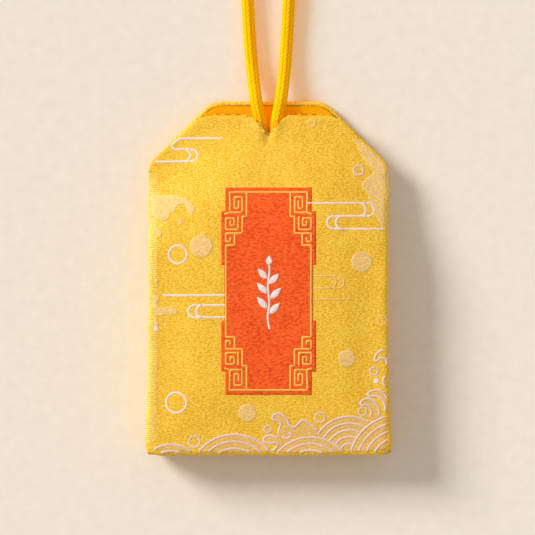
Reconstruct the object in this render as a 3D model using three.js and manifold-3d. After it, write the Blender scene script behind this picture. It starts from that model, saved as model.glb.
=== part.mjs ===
// Omamori charm: a sewn brocade pouch that holds a wrapped wooden slip and hangs on a braided cord.
// Millimetres. The charm lies on its back: +Z is its front, +Y runs up to the cord, +X is to the right.
// The origin is under the middle of the pouch, on the surface that the charm lies on.
import * as THREE from "three";
import { mergeVertices } from "three/addons/utils/BufferGeometryUtils.js";
import Module from "manifold-3d";

const wasm = await Module();
wasm.setup();

// Pouch outline
const POUCH_WIDTH = 45.2; // across the drawn-in sides
const POUCH_HEIGHT = 66.8;
const TOP_WIDTH = 21.6; // the straight top edge between the two slanted corners
const SLANT_HEIGHT = 11.9; // how far down the slanted corners reach
const CORNER_FLARE = 0.8; // each bottom corner stands out this far past the side
const FLARE_LENGTH = 24; // the side draws in over this length above the bottom corner
const CORNER_ROUND = 2.2; // at the bottom corners
const SLANT_ROUND = 1.2; // at both ends of the slanted corners
const LIP_DROP = 2.9; // the front lip lies this far below the top of the back panel
const FRONT_SET_IN = 0.8; // the front's slanted edges lie this far inside the back's

// Layers, from the back to the front
const BROCADE = 0.6;
const LINING = 0.3;
const CARD = 0.5;
const PAPER = 0.2;
const SLIP = 1.6;
const WADDING = 1.2;
const GAP = 0.3; // between neighbouring layers

// Padded form
const SEAM_Z = 3.4; // the front and the back panel meet at this height
const SEAM_GROOVE = 0.6; // both panels roll in this far to the seam
const SEAM_ROLL = 0.7; // height of that roll on each panel
const FRONT_SHOULDER = 4.4; // width of the rounded edge of the front
const BACK_SHOULDER = 3.0; // width of the rounded edge of the back
const CROWN = 0.6; // the middle of the front rises this much above its shoulders
const CENTRE_INSET = 15; // where the crown has flattened out
const LIP_RIM_Z = 3.9; // underside of the front lip
const BACK_RIM_Z = 1.9; // upper edge of the back panel along the mouth
const MOUTH_FALL = 2.0; // the front sinks this much from the slip up to the lip
const MOUTH_LENGTH = 16; // length over which it sinks
const LIP_CORNER = 6; // length over which the side seams open into the mouth
const LIP_RISE = 0.7; // the cord under the lip lifts it this much
const LIP_RISE_RADIUS = 3.6;
const LIP_NOTCH = 2.8; // and draws its edge down this far
const LIP_NOTCH_RADIUS = 3.0; // across
const LIP_NOTCH_LENGTH = 8; // the cloth below the notch gives over this length

// Wadding, card, wooden slip and its paper wrapper
const WADDING_MARGIN = 5; // from the outline of the front
const WADDING_DROP = 9.5; // from the front lip to the wadding
const WADDING_TOP_WIDTH = 20; // its upper edge between slanted corners
const CARD_MARGIN = 5.2; // from the outline of the pouch
const CARD_DROP = 14.5; // from the front lip to the card
const CARD_ROUND = 2;
const SLIP_WIDTH = 24;
const SLIP_DROP = 17.6; // from the front lip to the top of the slip
const SLIP_CORNER = 2.6; // cut off each upper corner of the slip
const POCKET_MARGIN = 3.8; // from the bottom of the pouch to the wrapper
const WRAPPER_OVER = 0.8; // the wrapper reaches this far past the slip

// Embroidered panel on the front
const PANEL_WIDTH = 16.2; // at both ends and the waist
const PANEL_STEP = 0.8; // the fret columns step out this far on each side
const PANEL_HEIGHT = 38.8;
const PANEL_Y = -2.5; // middle of the panel
const PANEL_END = 4.3; // length of the narrow stretch at each end
const PANEL_COLUMN = 10; // length of each stepped-out stretch
const EMBROIDERY = 0.35;
const EMBROIDERY_GAP = 0.1;

// Seam thread
const SEAM_THREAD = 0.4; // thickness
const SEAM_THREAD_INSET = 0.2; // its middle lies this far inside the outline
const SEAM_THREAD_DROP = 3; // from the slanted corners to its two ends
const SEAM_THREAD_SIDES = 6;

// Cord
const CORD = 2.4; // diameter
const CORD_CLEARANCE = 0.35;
const CORD_SIDES = 8;
const CORD_STEPS = 52;
const TAIL_STEPS = 10;
const TAIL_SET_BACK = 1.5; // from the end of each tail to the free loop
const TACK_LENGTH = 1.6; // along the cord
const TACK_THREAD = 0.5;
const TACK_GAP = 0.2; // between the cord and the stitching round it
const TACK_DROP = 10.5; // from the front lip to the middle of the stitching
// The free loop: from the mouth on the left, over the back panel, down to the surface, round and back.
// Both routes measure their second number from the front lip.
const LOOP_ROUTE = [
  [-1.7, -0.1, 3.45],
  [-2.05, 1.5, 3.5],
  [-2.42, 3.5, 3.3],
  [-2.8, 6.5, 2.35],
  [-3.27, 11, 1.5],
  [-3.62, 16, 1.3],
  [-3.95, 21.5, 1.3],
  [-4.35, 27.5, 1.3],
  [-4.9, 33.5, 1.3],
  [-5.35, 38.5, 1.3],
  [-4.75, 42.7, 1.3],
  [-2.7, 45.5, 1.3],
  [0.1, 46.4, 1.3],
  [2.9, 45.5, 1.3],
  [4.85, 42.7, 1.3],
  [5.4, 38.5, 1.3],
  [4.9, 33.5, 1.3],
  [4.3, 27.5, 1.3],
  [3.85, 21.5, 1.3],
  [3.55, 16, 1.3],
  [3.22, 11, 1.5],
  [2.8, 6.5, 2.35],
  [2.42, 3.5, 3.3],
  [2.05, 1.5, 3.5],
  [1.7, -0.1, 3.45],
];
// Each end lies inside the pouch, behind the front lining, and comes out under the notch of the lip.
const TAIL_ROUTE = [
  [1.42, -13.1, 3.3],
  [1.42, -8, 3.3],
  [1.42, -4.5, 3.3],
  [1.42, -2.7, 3.32],
  [1.45, -1.6, 3.36],
  [1.55, -0.9, 3.4],
  [1.7, -0.1, 3.45],
];

// Points on each stretch of half the outline, and rings across each panel
const BOTTOM_POINTS = 4;
const CORNER_POINTS = 3;
const FLARE_POINTS = 4;
const SIDE_POINTS = 3;
const SLANT_POINTS = 3;
const TOP_POINTS = 7;
const SHOULDER_RINGS = 4;
const LINING_RINGS = 2;
const CROWN_RINGS = 2;

const COLOURS = {
  brocade: { color: 0xf2c23a, roughness: 0.6 },
  lining: { color: 0xf5a81c, roughness: 0.7 },
  wadding: { color: 0xf4f0e6, roughness: 0.95 },
  card: { color: 0xcdb791, roughness: 0.9 },
  paper: { color: 0xf6f2e8, roughness: 0.85 },
  wood: { color: 0xe2c393, roughness: 0.7 },
  embroidery: { color: 0xf0561d, roughness: 0.65 },
  thread: { color: 0xf8dc6a, roughness: 0.6 },
  cord: { color: 0xf8bf0c, roughness: 0.65 },
};

// Heights of the layers, each from its underside
const backLiningZ = BROCADE + GAP;
const cardZ = backLiningZ + LINING + GAP;
const wrapperZ = cardZ + CARD + GAP;
const slipZ = wrapperZ + PAPER + GAP;
const wrapperTopZ = slipZ + SLIP + GAP + PAPER;
const frontLiningZ = wrapperTopZ + GAP;
const waddingZ = frontLiningZ + LINING + GAP;
const frontTopZ = waddingZ + WADDING + GAP + BROCADE;

// The lining follows the front up to the mouth, where no wadding parts them.
const liningFall = MOUTH_FALL - WADDING - GAP;
const liningInset = BROCADE + GAP;
const frontSeamZ = SEAM_Z + GAP / 2;
const backSeamZ = SEAM_Z - GAP / 2;
const halfHeight = POUCH_HEIGHT / 2;
const lipY = halfHeight - LIP_DROP;
const waddingTop = lipY - WADDING_DROP;
const cardTop = lipY - CARD_DROP;
const seamThreadTop = halfHeight - SLANT_HEIGHT - SEAM_THREAD_DROP;
const tackY = lipY - TACK_DROP;
const loopRoute = LOOP_ROUTE.map(([x, y, z]) => [x, lipY + y, z]);
const tailRoute = TAIL_ROUTE.map(([x, y, z]) => [x, lipY + y, z]);
const notchY = tailRoute[4][1];

// Joins, cuts and meshes

function toSolid(geometry) {
  const bare = geometry.clone();
  bare.deleteAttribute("normal");
  bare.deleteAttribute("uv");
  const merged = mergeVertices(bare, 1e-4);
  const vertProperties = merged.attributes.position.array;
  const triVerts = new Uint32Array(merged.index.array);
  return new wasm.Manifold(new wasm.Mesh({ numProp: 3, vertProperties, triVerts }));
}

function toGeometry(solid) {
  const { vertProperties, triVerts } = solid.getMesh();
  const geometry = new THREE.BufferGeometry();
  geometry.setAttribute("position", new THREE.BufferAttribute(vertProperties, 3));
  geometry.setIndex(new THREE.BufferAttribute(triVerts, 1));
  geometry.computeVertexNormals();
  return geometry;
}

// The main body of a cut solid, without the crumbs that the cut leaves
function mainBody(solid) {
  return solid.decompose().reduce((kept, body) => (body.volume() > kept.volume() ? body : kept));
}

function node(name, geometry, colour) {
  const material = new THREE.MeshStandardMaterial({ ...COLOURS[colour], metalness: 0 });
  const mesh = new THREE.Mesh(geometry, material);
  mesh.name = name;
  return mesh;
}

// A flat piece with its underside at z
function plate(points, thickness, z) {
  const shape = new THREE.Shape(points.map(([x, y]) => new THREE.Vector2(x, y)));
  return new THREE.ExtrudeGeometry(shape, { depth: thickness, bevelEnabled: false }).translate(0, 0, z);
}

// Outlines: each holds the half width, the bottom, the top and the reach of the slanted corner.

const slantAlong = new THREE.Vector2(TOP_WIDTH / 2 - POUCH_WIDTH / 2, SLANT_HEIGHT).normalize();
const slantOut = new THREE.Vector2(slantAlong.y, -slantAlong.x);

const backOutline = {
  halfWidth: POUCH_WIDTH / 2,
  bottom: -halfHeight,
  top: halfHeight,
  reach: slantOut.dot(new THREE.Vector2(TOP_WIDTH / 2, halfHeight)),
};
const frontOutline = { ...backOutline, top: lipY, reach: backOutline.reach - FRONT_SET_IN };

function inner(outline, inset) {
  return {
    halfWidth: outline.halfWidth - inset,
    bottom: outline.bottom + inset,
    top: outline.top - inset,
    reach: outline.reach - inset,
  };
}

// One closed ring of points, counter-clockwise from the middle of the bottom
function outlineRing({ halfWidth, bottom, top, reach }) {
  const foot = new THREE.Vector2(halfWidth + CORNER_FLARE, bottom);
  const side = new THREE.Vector2(halfWidth, (reach - slantOut.x * halfWidth) / slantOut.y);
  const peak = new THREE.Vector2((reach - slantOut.y * top) / slantOut.x, top);
  const footStart = foot.clone().setX(foot.x - CORNER_ROUND);
  const footEnd = foot.clone().setY(bottom + CORNER_ROUND);
  const sideStart = side.clone().setY(side.y - SLANT_ROUND);
  const sideEnd = side.clone().addScaledVector(slantAlong, SLANT_ROUND);
  const peakStart = peak.clone().addScaledVector(slantAlong, -SLANT_ROUND);
  const peakEnd = peak.clone().setX(peak.x - SLANT_ROUND);
  const flareTop = Math.min(bottom + FLARE_LENGTH, sideStart.y - SLANT_ROUND);
  const flareEnd = new THREE.Vector2(halfWidth, flareTop);
  const flareBend = new THREE.Vector2(halfWidth, (footEnd.y + flareTop) / 2);
  const stretches = [
    [new THREE.LineCurve(new THREE.Vector2(0, bottom), footStart), BOTTOM_POINTS],
    [new THREE.QuadraticBezierCurve(footStart, foot, footEnd), CORNER_POINTS],
    [new THREE.QuadraticBezierCurve(footEnd, flareBend, flareEnd), FLARE_POINTS],
    [new THREE.LineCurve(flareEnd, sideStart), SIDE_POINTS],
    [new THREE.QuadraticBezierCurve(sideStart, side, sideEnd), CORNER_POINTS],
    [new THREE.LineCurve(sideEnd, peakStart), SLANT_POINTS],
    [new THREE.QuadraticBezierCurve(peakStart, peak, peakEnd), CORNER_POINTS],
    [new THREE.LineCurve(peakEnd, new THREE.Vector2(0, top)), TOP_POINTS],
  ];
  const right = stretches.flatMap(([curve, count]) => curve.getPoints(count).slice(0, -1));
  const left = right.slice(1).map((point) => new THREE.Vector2(-point.x, point.y));
  return [...right, new THREE.Vector2(0, top), ...left.reverse()];
}

// Shares of the mouth's shape at a point

function mouthShare(point) {
  return THREE.MathUtils.smoothstep(point.y, lipY - MOUTH_LENGTH, lipY);
}

function lipShare(point) {
  return THREE.MathUtils.smoothstep(point.y, lipY - LIP_CORNER, lipY);
}

function cordRise(point) {
  const reach = Math.hypot(point.x, point.y - notchY) / LIP_RISE_RADIUS;
  return LIP_RISE * Math.exp(-reach * reach);
}

// The place of a point of the front once the notch has drawn the cloth down
function notched(point) {
  const reach = point.x / LIP_NOTCH_RADIUS;
  const share = THREE.MathUtils.smoothstep(point.y, lipY - LIP_NOTCH_LENGTH, lipY);
  return point.clone().setY(point.y - LIP_NOTCH * share * Math.exp(-reach * reach));
}

// Rise of the front's crown over a point of the outline's inside
function crownAt(point) {
  const inset = Math.min(
    frontOutline.halfWidth - Math.abs(point.x),
    point.y - frontOutline.bottom,
    frontOutline.top - point.y,
    frontOutline.reach - slantOut.x * Math.abs(point.x) - slantOut.y * point.y,
  );
  const share = (inset - FRONT_SHOULDER) / (CENTRE_INSET - FRONT_SHOULDER);
  return CROWN * Math.sin((THREE.MathUtils.clamp(share, 0, 1) * Math.PI) / 2);
}

// Rings of one curved sheet, from its seam to its middle. A sheet has an outline, the width of its
// rounded shoulder, and a rim and a level that give their heights at a point. The roll is the height
// of the turned-in edge, up for the front and down for the back.
function sheetRings({ outline, shoulder, rim, level, roll, crown = 0 }, shoulderRings) {
  const raise = (inset, height) =>
    outlineRing(inner(outline, inset)).map((p) => new THREE.Vector3(p.x, p.y, height(p)));
  const rings = [raise(SEAM_GROOVE, rim)];
  for (let i = 0; i <= shoulderRings; i += 1) {
    const angle = (i / shoulderRings) * (Math.PI / 2);
    const height = (p) => THREE.MathUtils.lerp(rim(p) + roll, level(p), Math.sin(angle));
    rings.push(raise(shoulder * (1 - Math.cos(angle)), height));
  }
  for (let i = 1; i <= CROWN_RINGS; i += 1) {
    const share = i / CROWN_RINGS;
    const rise = crown * Math.sin((share * Math.PI) / 2);
    const inset = THREE.MathUtils.lerp(shoulder, CENTRE_INSET, share);
    rings.push(raise(inset, (p) => level(p) + rise));
  }
  return rings;
}

function facet(corners) {
  return corners.flatMap((corner) => corner.toArray());
}

function band(from, to) {
  return from.flatMap((a, i) => {
    const next = (i + 1) % from.length;
    return [...facet([a, to[i], to[next]]), ...facet([a, to[next], from[next]])];
  });
}

function asGeometry(positions) {
  const geometry = new THREE.BufferGeometry();
  geometry.setAttribute("position", new THREE.Float32BufferAttribute(positions, 3));
  const merged = mergeVertices(geometry, 1e-4);
  merged.computeVertexNormals();
  return merged;
}

// A closed body lofted through rings, from the middle of its upper side to that of its underside
function loft(rings) {
  const middle = (ring) => {
    const sum = ring.reduce((total, p) => total.add(p), new THREE.Vector3());
    return sum.divideScalar(ring.length);
  };
  const fan = (ring, turn) => {
    const centre = middle(ring);
    return ring.flatMap((p, i) => {
      const next = ring[(i + 1) % ring.length];
      return facet(turn ? [centre, next, p] : [centre, p, next]);
    });
  };
  const upper = fan(rings[0], false);
  const lower = fan(rings[rings.length - 1], true);
  const sides = rings.slice(1).flatMap((ring, i) => band(rings[i], ring));
  return asGeometry([...upper, ...sides, ...lower]);
}

// Sheets of the front and of the back

function frontSheet({ inset, top, fall }) {
  return {
    outline: inner(frontOutline, inset),
    shoulder: FRONT_SHOULDER - inset,
    rim: (p) => THREE.MathUtils.lerp(frontSeamZ, LIP_RIM_Z + cordRise(p), lipShare(p)),
    level: (p) => top - fall * mouthShare(p) + cordRise(p),
    roll: SEAM_ROLL,
    crown: CROWN,
  };
}

function backSheet({ inset, bottom }) {
  return {
    outline: inner(backOutline, inset),
    shoulder: BACK_SHOULDER - inset,
    rim: (p) => THREE.MathUtils.lerp(backSeamZ, BACK_RIM_Z, lipShare(p)),
    level: () => bottom,
    roll: -SEAM_ROLL,
  };
}

function frontShell({ inset, top, fall, thickness, rings }) {
  const over = sheetRings(frontSheet({ inset, top, fall }), rings);
  const under = sheetRings(
    frontSheet({ inset: inset + thickness, top: top - thickness, fall }),
    rings,
  );
  return loft([...over.reverse(), ...under].map((ring) => ring.map(notched)));
}

function backShell({ inset, bottom, thickness, rings }) {
  const under = sheetRings(backSheet({ inset, bottom }), rings);
  const over = sheetRings(backSheet({ inset: inset + thickness, bottom: bottom + thickness }), rings);
  return loft([...over.reverse(), ...under]);
}

// Cord

function route(points) {
  return new THREE.CatmullRomCurve3(points.map((p) => new THREE.Vector3(...p)));
}

function mirrored(points) {
  return points.map(([x, y, z]) => [-x, y, z]);
}

function rod(curve, radius, sides, steps) {
  const around = Array.from({ length: sides }, (unused, i) => {
    const angle = (i / sides) * Math.PI * 2;
    return new THREE.Vector2(radius * Math.cos(angle), radius * Math.sin(angle));
  });
  const shape = new THREE.Shape(around);
  return new THREE.ExtrudeGeometry(shape, { steps, bevelEnabled: false, extrudePath: curve });
}

function shortened(curve, cut) {
  const share = 1 - cut / curve.getLength();
  const points = Array.from({ length: 9 }, (unused, i) => curve.getPointAt((share * i) / 8));
  return new THREE.CatmullRomCurve3(points);
}

const loopStart = loopRoute.slice(1, 3);
const loopEnd = loopRoute.slice(-3, -1).reverse();
const leftTail = mirrored(tailRoute);

function cordPassage() {
  const radius = CORD / 2 + CORD_CLEARANCE;
  const left = rod(route([...leftTail, ...loopStart]), radius, 12, 16);
  const right = rod(route([...tailRoute, ...loopEnd]), radius, 12, 16);
  return toSolid(left).add(toSolid(right));
}

function makeTail(points) {
  return rod(shortened(route(points), TAIL_SET_BACK), CORD / 2, CORD_SIDES, TAIL_STEPS);
}

function makeLoop() {
  const curve = route(loopRoute);
  const tube = toSolid(rod(curve, CORD / 2, CORD_SIDES, CORD_STEPS));
  const end = ([x, y, z]) =>
    toSolid(new THREE.SphereGeometry(CORD / 2, CORD_SIDES, 6).translate(x, y, z));
  return toGeometry(tube.add(end(loopRoute[0])).add(end(loopRoute[loopRoute.length - 1])));
}

// Stitching that holds both tails up against the front lining
function makeTack(liningUnderside) {
  const [tailX, , tailZ] = tailRoute[0];
  const innerHalf = tailX + CORD / 2 + TACK_GAP;
  const outerHalf = innerHalf + TACK_THREAD;
  const floorZ = tailZ - CORD / 2 - TACK_GAP;
  const topZ = liningUnderside({ x: outerHalf, y: tackY }) - GAP;
  const strap = new THREE.Shape([
    new THREE.Vector2(-outerHalf, topZ),
    new THREE.Vector2(-outerHalf, floorZ - TACK_THREAD),
    new THREE.Vector2(outerHalf, floorZ - TACK_THREAD),
    new THREE.Vector2(outerHalf, topZ),
    new THREE.Vector2(innerHalf, topZ),
    new THREE.Vector2(innerHalf, floorZ),
    new THREE.Vector2(-innerHalf, floorZ),
    new THREE.Vector2(-innerHalf, topZ),
  ]);
  const solid = new THREE.ExtrudeGeometry(strap, { depth: TACK_LENGTH, bevelEnabled: false });
  return solid.rotateX(Math.PI / 2).translate(0, tackY + TACK_LENGTH / 2, 0);
}

// Pouch

const brocade = { inset: 0, top: frontTopZ, fall: MOUTH_FALL };
const lining = {
  inset: liningInset,
  top: frontLiningZ + LINING,
  fall: liningFall,
};
const passage = cordPassage();

function makeFront() {
  const shell = frontShell({ ...brocade, thickness: BROCADE, rings: SHOULDER_RINGS });
  return toGeometry(mainBody(toSolid(shell).subtract(passage)));
}

function makeFrontLining() {
  const shell = frontShell({ ...lining, thickness: LINING, rings: LINING_RINGS });
  return toGeometry(mainBody(toSolid(shell).subtract(passage)));
}

function makeWadding() {
  const reach = slantOut.dot(new THREE.Vector2(WADDING_TOP_WIDTH / 2, waddingTop));
  const outline = { ...inner(frontOutline, WADDING_MARGIN), top: waddingTop, reach };
  const over = frontSheet({ ...brocade, top: frontTopZ - BROCADE - GAP });
  const under = frontSheet({ ...lining, top: frontLiningZ + LINING + GAP });
  const insets = [0, (CENTRE_INSET - WADDING_MARGIN) / 2, CENTRE_INSET - WADDING_MARGIN];
  const pad = (sheet) =>
    insets.map((inset) =>
      outlineRing(inner(outline, inset)).map(
        (p) => new THREE.Vector3(p.x, p.y, sheet.level(p) + crownAt(p)),
      ),
    );
  return loft([...pad(over).reverse(), ...pad(under)]);
}

function makeCard() {
  const half = POUCH_WIDTH / 2 - CARD_MARGIN;
  const bottom = -halfHeight + CARD_MARGIN;
  const points = [
    [half - CARD_ROUND, bottom],
    [half, bottom + CARD_ROUND],
    [half, cardTop - CARD_ROUND],
    [half - CARD_ROUND, cardTop],
  ];
  return plate([...points, ...mirrored(points).reverse()], CARD, cardZ);
}

const slipBottom = -halfHeight + POCKET_MARGIN + PAPER + GAP;
const slipTop = lipY - SLIP_DROP;

function makeSlip() {
  const half = SLIP_WIDTH / 2;
  const points = [
    [half, slipBottom],
    [half, slipTop - SLIP_CORNER],
    [half - SLIP_CORNER, slipTop],
  ];
  return plate([...points, ...mirrored(points).reverse()], SLIP, slipZ);
}

function makeWrapper() {
  const width = SLIP_WIDTH + 2 * GAP;
  const length = slipTop - slipBottom + GAP + WRAPPER_OVER;
  const height = SLIP + 2 * GAP;
  const bottom = slipBottom - GAP;
  const outside = new THREE.BoxGeometry(width + 2 * PAPER, length + PAPER, height + 2 * PAPER);
  outside.translate(0, bottom - PAPER + (length + PAPER) / 2, wrapperZ + height / 2 + PAPER);
  const inside = new THREE.BoxGeometry(width, length + WRAPPER_OVER, height);
  inside.translate(0, bottom + (length + WRAPPER_OVER) / 2, wrapperZ + height / 2 + PAPER);
  return toGeometry(toSolid(outside).subtract(toSolid(inside)));
}

function makeCartouche() {
  const half = PANEL_WIDTH / 2;
  const wide = half + PANEL_STEP;
  const end = PANEL_HEIGHT / 2;
  const columnTop = end - PANEL_END;
  const columnEnd = columnTop - PANEL_COLUMN;
  const right = [
    [half, -end],
    [half, -columnTop],
    [wide, -columnTop],
    [wide, -columnEnd],
    [half, -columnEnd],
    [half, columnEnd],
    [wide, columnEnd],
    [wide, columnTop],
    [half, columnTop],
    [half, end],
  ];
  const outline = [...right, ...mirrored(right).reverse()];
  const prism = plate(outline, frontTopZ, frontTopZ / 2).translate(0, PANEL_Y, 0);
  const skin = (offset) => sheetRings(frontSheet({ ...brocade, top: frontTopZ + offset }), SHOULDER_RINGS);
  const crownStart = SHOULDER_RINGS + 1;
  const over = skin(EMBROIDERY_GAP + EMBROIDERY).slice(crownStart);
  const under = skin(EMBROIDERY_GAP).slice(crownStart);
  return toGeometry(toSolid(loft([...over.reverse(), ...under])).intersect(toSolid(prism)));
}

function makeSeamThread() {
  const radius = SEAM_THREAD / 2;
  const rings = Array.from({ length: SEAM_THREAD_SIDES }, (unused, i) => {
    const angle = (i / SEAM_THREAD_SIDES) * Math.PI * 2;
    const inset = SEAM_THREAD_INSET + radius * Math.cos(angle);
    const z = SEAM_Z + radius * Math.sin(angle);
    return outlineRing(inner(backOutline, inset)).map((p) => new THREE.Vector3(p.x, p.y, z));
  });
  const hoop = asGeometry(rings.flatMap((ring, i) => band(ring, rings[(i + 1) % rings.length])));
  const reach = POUCH_WIDTH + 4 * CORNER_FLARE;
  const below = new THREE.BoxGeometry(reach, POUCH_HEIGHT, 2 * SEAM_Z);
  below.translate(0, seamThreadTop - halfHeight, SEAM_Z);
  return toGeometry(toSolid(hoop).intersect(toSolid(below)));
}

const liningUnder = frontSheet({ ...lining, top: frontLiningZ });

const charm = new THREE.Group();
charm.name = "omamori_charm";
charm.add(
  node("front_brocade", makeFront(), "brocade"),
  node("front_wadding", makeWadding(), "wadding"),
  node("front_lining", makeFrontLining(), "lining"),
  node(
    "back_brocade",
    backShell({ inset: 0, bottom: 0, thickness: BROCADE, rings: SHOULDER_RINGS }),
    "brocade",
  ),
  node(
    "back_lining",
    backShell({ inset: liningInset, bottom: backLiningZ, thickness: LINING, rings: LINING_RINGS }),
    "lining",
  ),
  node("stiffener_card", makeCard(), "card"),
  node("slip_wrapper", makeWrapper(), "paper"),
  node("amulet_slip", makeSlip(), "wood"),
  node("cartouche", makeCartouche(), "embroidery"),
  node("side_seam_thread", makeSeamThread(), "thread"),
  node("cord_tail_left", makeTail(leftTail), "cord"),
  node("cord_tail_right", makeTail(tailRoute), "cord"),
  node("cord_bar_tack", makeTack(liningUnder.level), "thread"),
  node("hanging_cord", makeLoop(), "cord"),
);

export default charm;
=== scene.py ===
"""Looks of a padded brocade charm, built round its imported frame."""
import math

import bmesh
import bpy
import numpy as np
from bpy.props import FloatProperty, FloatVectorProperty, PointerProperty
from bpy.types import Operator, Panel, PropertyGroup
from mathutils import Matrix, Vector, noise
from mathutils.bvhtree import BVHTree


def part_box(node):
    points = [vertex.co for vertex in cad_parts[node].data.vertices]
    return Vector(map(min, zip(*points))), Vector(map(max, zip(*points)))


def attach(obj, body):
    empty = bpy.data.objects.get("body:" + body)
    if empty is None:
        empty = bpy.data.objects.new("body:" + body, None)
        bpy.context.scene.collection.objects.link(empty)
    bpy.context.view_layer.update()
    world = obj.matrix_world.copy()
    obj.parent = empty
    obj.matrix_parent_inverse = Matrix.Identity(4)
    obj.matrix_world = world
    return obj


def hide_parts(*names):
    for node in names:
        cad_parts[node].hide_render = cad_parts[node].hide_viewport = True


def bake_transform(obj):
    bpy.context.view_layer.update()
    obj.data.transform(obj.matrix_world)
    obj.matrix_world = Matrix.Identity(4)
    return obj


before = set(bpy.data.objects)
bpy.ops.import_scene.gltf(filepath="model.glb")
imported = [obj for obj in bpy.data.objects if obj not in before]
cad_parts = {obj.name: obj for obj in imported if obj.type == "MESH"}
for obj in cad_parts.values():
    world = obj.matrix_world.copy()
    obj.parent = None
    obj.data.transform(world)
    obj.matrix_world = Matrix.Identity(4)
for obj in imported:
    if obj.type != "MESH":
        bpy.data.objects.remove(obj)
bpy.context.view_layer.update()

bl_info = {
    "name": "Brocade Charm",
    "version": (1, 0, 0),
    "blender": (4, 5, 0),
    "location": "View3D > Sidebar > Charm",
    "description": "Dresses the frame of a padded brocade charm in cloth, cord and stitching",
    "category": "Object",
}

MM = 0.001
# UV maps: that of flat cloth, and the length that it spans, and that of the cord, in millimetres
CLOTH_UV = "cloth"
UV_SPAN = 80 * MM
BRAID_UV = "braid"
# Mark on the points of the cord, from 0 in a groove of the braid to 1 on a plait; the cord's colour follows
# it, as painted shade in the grooves and painted highlight on the plaits
CREST = "crest"
# How far inside the panels the linings are cut
LINING_INSET = 0.9 * MM

# Motifs on the front, in millimetres of the pouch

# Key-fret lines of the upper left corner, mirrored to the other three
FRET_CORNER = (
    ((0, 16.1), (-7.3, 16.1), (-7.2, 12.3), (-4.95, 12.3), (-4.95, 15.2), (-6.4, 15.2),
     (-6.4, 13.05), (-5.6, 13.05), (-5.6, 14.5)),
    ((-4.1, 16.1), (-4.1, 11.55), (-4.9, 11.55), (-4.9, 8.4), (-8, 8.4), (-8, 6.85),
     (-7.15, 6.85), (-7.15, 7.65)),
    ((-8.25, 12), (-7.2, 12.3)),
    ((-5.7, 11.55), (-5.7, 9.1), (-8, 9.1), (-8, 11.25), (-6.45, 11.25), (-6.45, 9.85),
     (-7.15, 9.85), (-7.15, 10.75)),
    ((-6.35, 8.4), (-6.35, 6.15), (-8, 6.15), (-7.95, -2.45)),
)
# Right side of the stepped panel, from its top to its bottom
PANEL_SIDE = (
    (8.1, 17), (8.1, 12.55), (8.9, 12.55), (8.9, 2.45), (8.3, 2.45), (8.3, -8),
    (8.9, -8), (8.9, -17.55), (8.1, -17.55), (8.1, -21.9),
)
# Bars of the pale clouds
CLOUD_BARS = (
    ((-8.6, 26.3), (-16.5, 26.3), (-17.4, 25.8), (-18.5, 24.7)),
    ((-18.5, 24.7), (-17.5, 24.25), (-14.5, 24.25)),
    ((-14.5, 21.9), (-21.7, 21.9)),
    ((7.1, 14.05), (18.6, 14.05)),
    ((18.6, 11.6), (12.2, 11.6)),
    ((12.2, 9.2), (22, 9.2)),
    ((-20.1, -3.25), (-7.9, -3.2)),
    ((-7.9, -5.1), (-13.9, -5.15)),
    ((-13.9, -7.4), (-7.9, -7.35)),
)
# Half rings at the ends of those bars: middle, radius, and 1 where it bulges to the right
CLOUD_TURNS = (
    (-14.5, 23.1, 1.16, 1), (-15.9, 23.1, 1.16, 1), (18.6, 12.8, 1.23, 1), (17, 12.8, 1.23, 1),
    (12.2, 10.4, 1.2, -1), (13.8, 10.4, 1.2, -1), (-13.9, -6.25, 1.13, -1), (-12.4, -6.25, 1.13, -1),
)
# Bars of the peach cloud, and the half rings at their right ends
PEACH_BARS = (
    ((8.2, 0.4), (13, 0.4)),
    ((13, -1.9), (8.2, -1.9)),
    ((8.2, -3.95), (15.7, -3.95)),
)
PEACH_TURNS = ((13, -0.75, 1.15, 1), (11.5, -0.75, 1.15, 1))
# Bubbles drawn as rings, small and faint rings, filled bubbles and drops of spray: middle and radius
RINGS = ((-17, 4.4, 1.7), (-17.3, -23.4, 1.9))
SMALL_RINGS = (
    (16.9, 20.2, 0.95), (-13.9, -30.75, 1.05), (-0.1, -28.35, 0.65), (9.7, -26.15, 0.95),
    (19.8, -17.5, 0.75), (17.6, -25.1, 0.75),
)
FAINT_RINGS = ((8.2, 29.2, 0.7), (21.3, -7.9, 0.85))
DOTS = ((-12.6, 6, 2.17), (17.5, 3.05, 1.96), (14.7, -15.1, 1.64), (-3.95, -25.35, 1.7))
DROPS = ((20.3, -19.35, 0.53), (-21.1, -9.55, 0.5))
# Foam at the left edge
FOAM = (
    ((-21.9, 15.2), (-19.5, 15.65), (-16.7, 15.4), (-14.7, 14.4), (-13.8, 13), (-14.3, 12),
     (-15.2, 12.4), (-15.6, 13.5), (-16.7, 13.8), (-17.4, 13.1), (-17.7, 12.3), (-18.5, 12.1),
     (-18.8, 11.1), (-19.9, 10.75), (-20.9, 11.1), (-21.8, 12.1)),
    ((-16.6, 11.3), (-16.1, 10.4), (-16.6, 9.9), (-17.1, 10.4)),
    ((-19.8, 10.4), (-19.3, 10.6), (-18.8, 10.3), (-19.4, 9.95)),
    ((-21.5, 9.5), (-20.4, 9.1), (-20, 8.1), (-20.5, 7.5), (-20.9, 8.3), (-21.6, 8.9)),
    ((-21.3, -0.2), (-20.6, -0.4), (-20.9, -1.1), (-21.4, -0.8)),
    ((-21.7, -3.4), (-20.4, -3.6), (-20.9, -4.8), (-20, -5.55), (-18, -5.4), (-17, -6.4),
     (-17.6, -6.85), (-18.9, -6.8), (-20.6, -7.1), (-21.5, -5.3)),
    ((-21.4, -7.6), (-20.7, -8.4), (-20.7, -9.6), (-21.2, -10), (-21.4, -8.8)),
    ((-19.5, -8.5), (-18.9, -8.6), (-19.1, -9.1), (-19.5, -9)),
)
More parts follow.
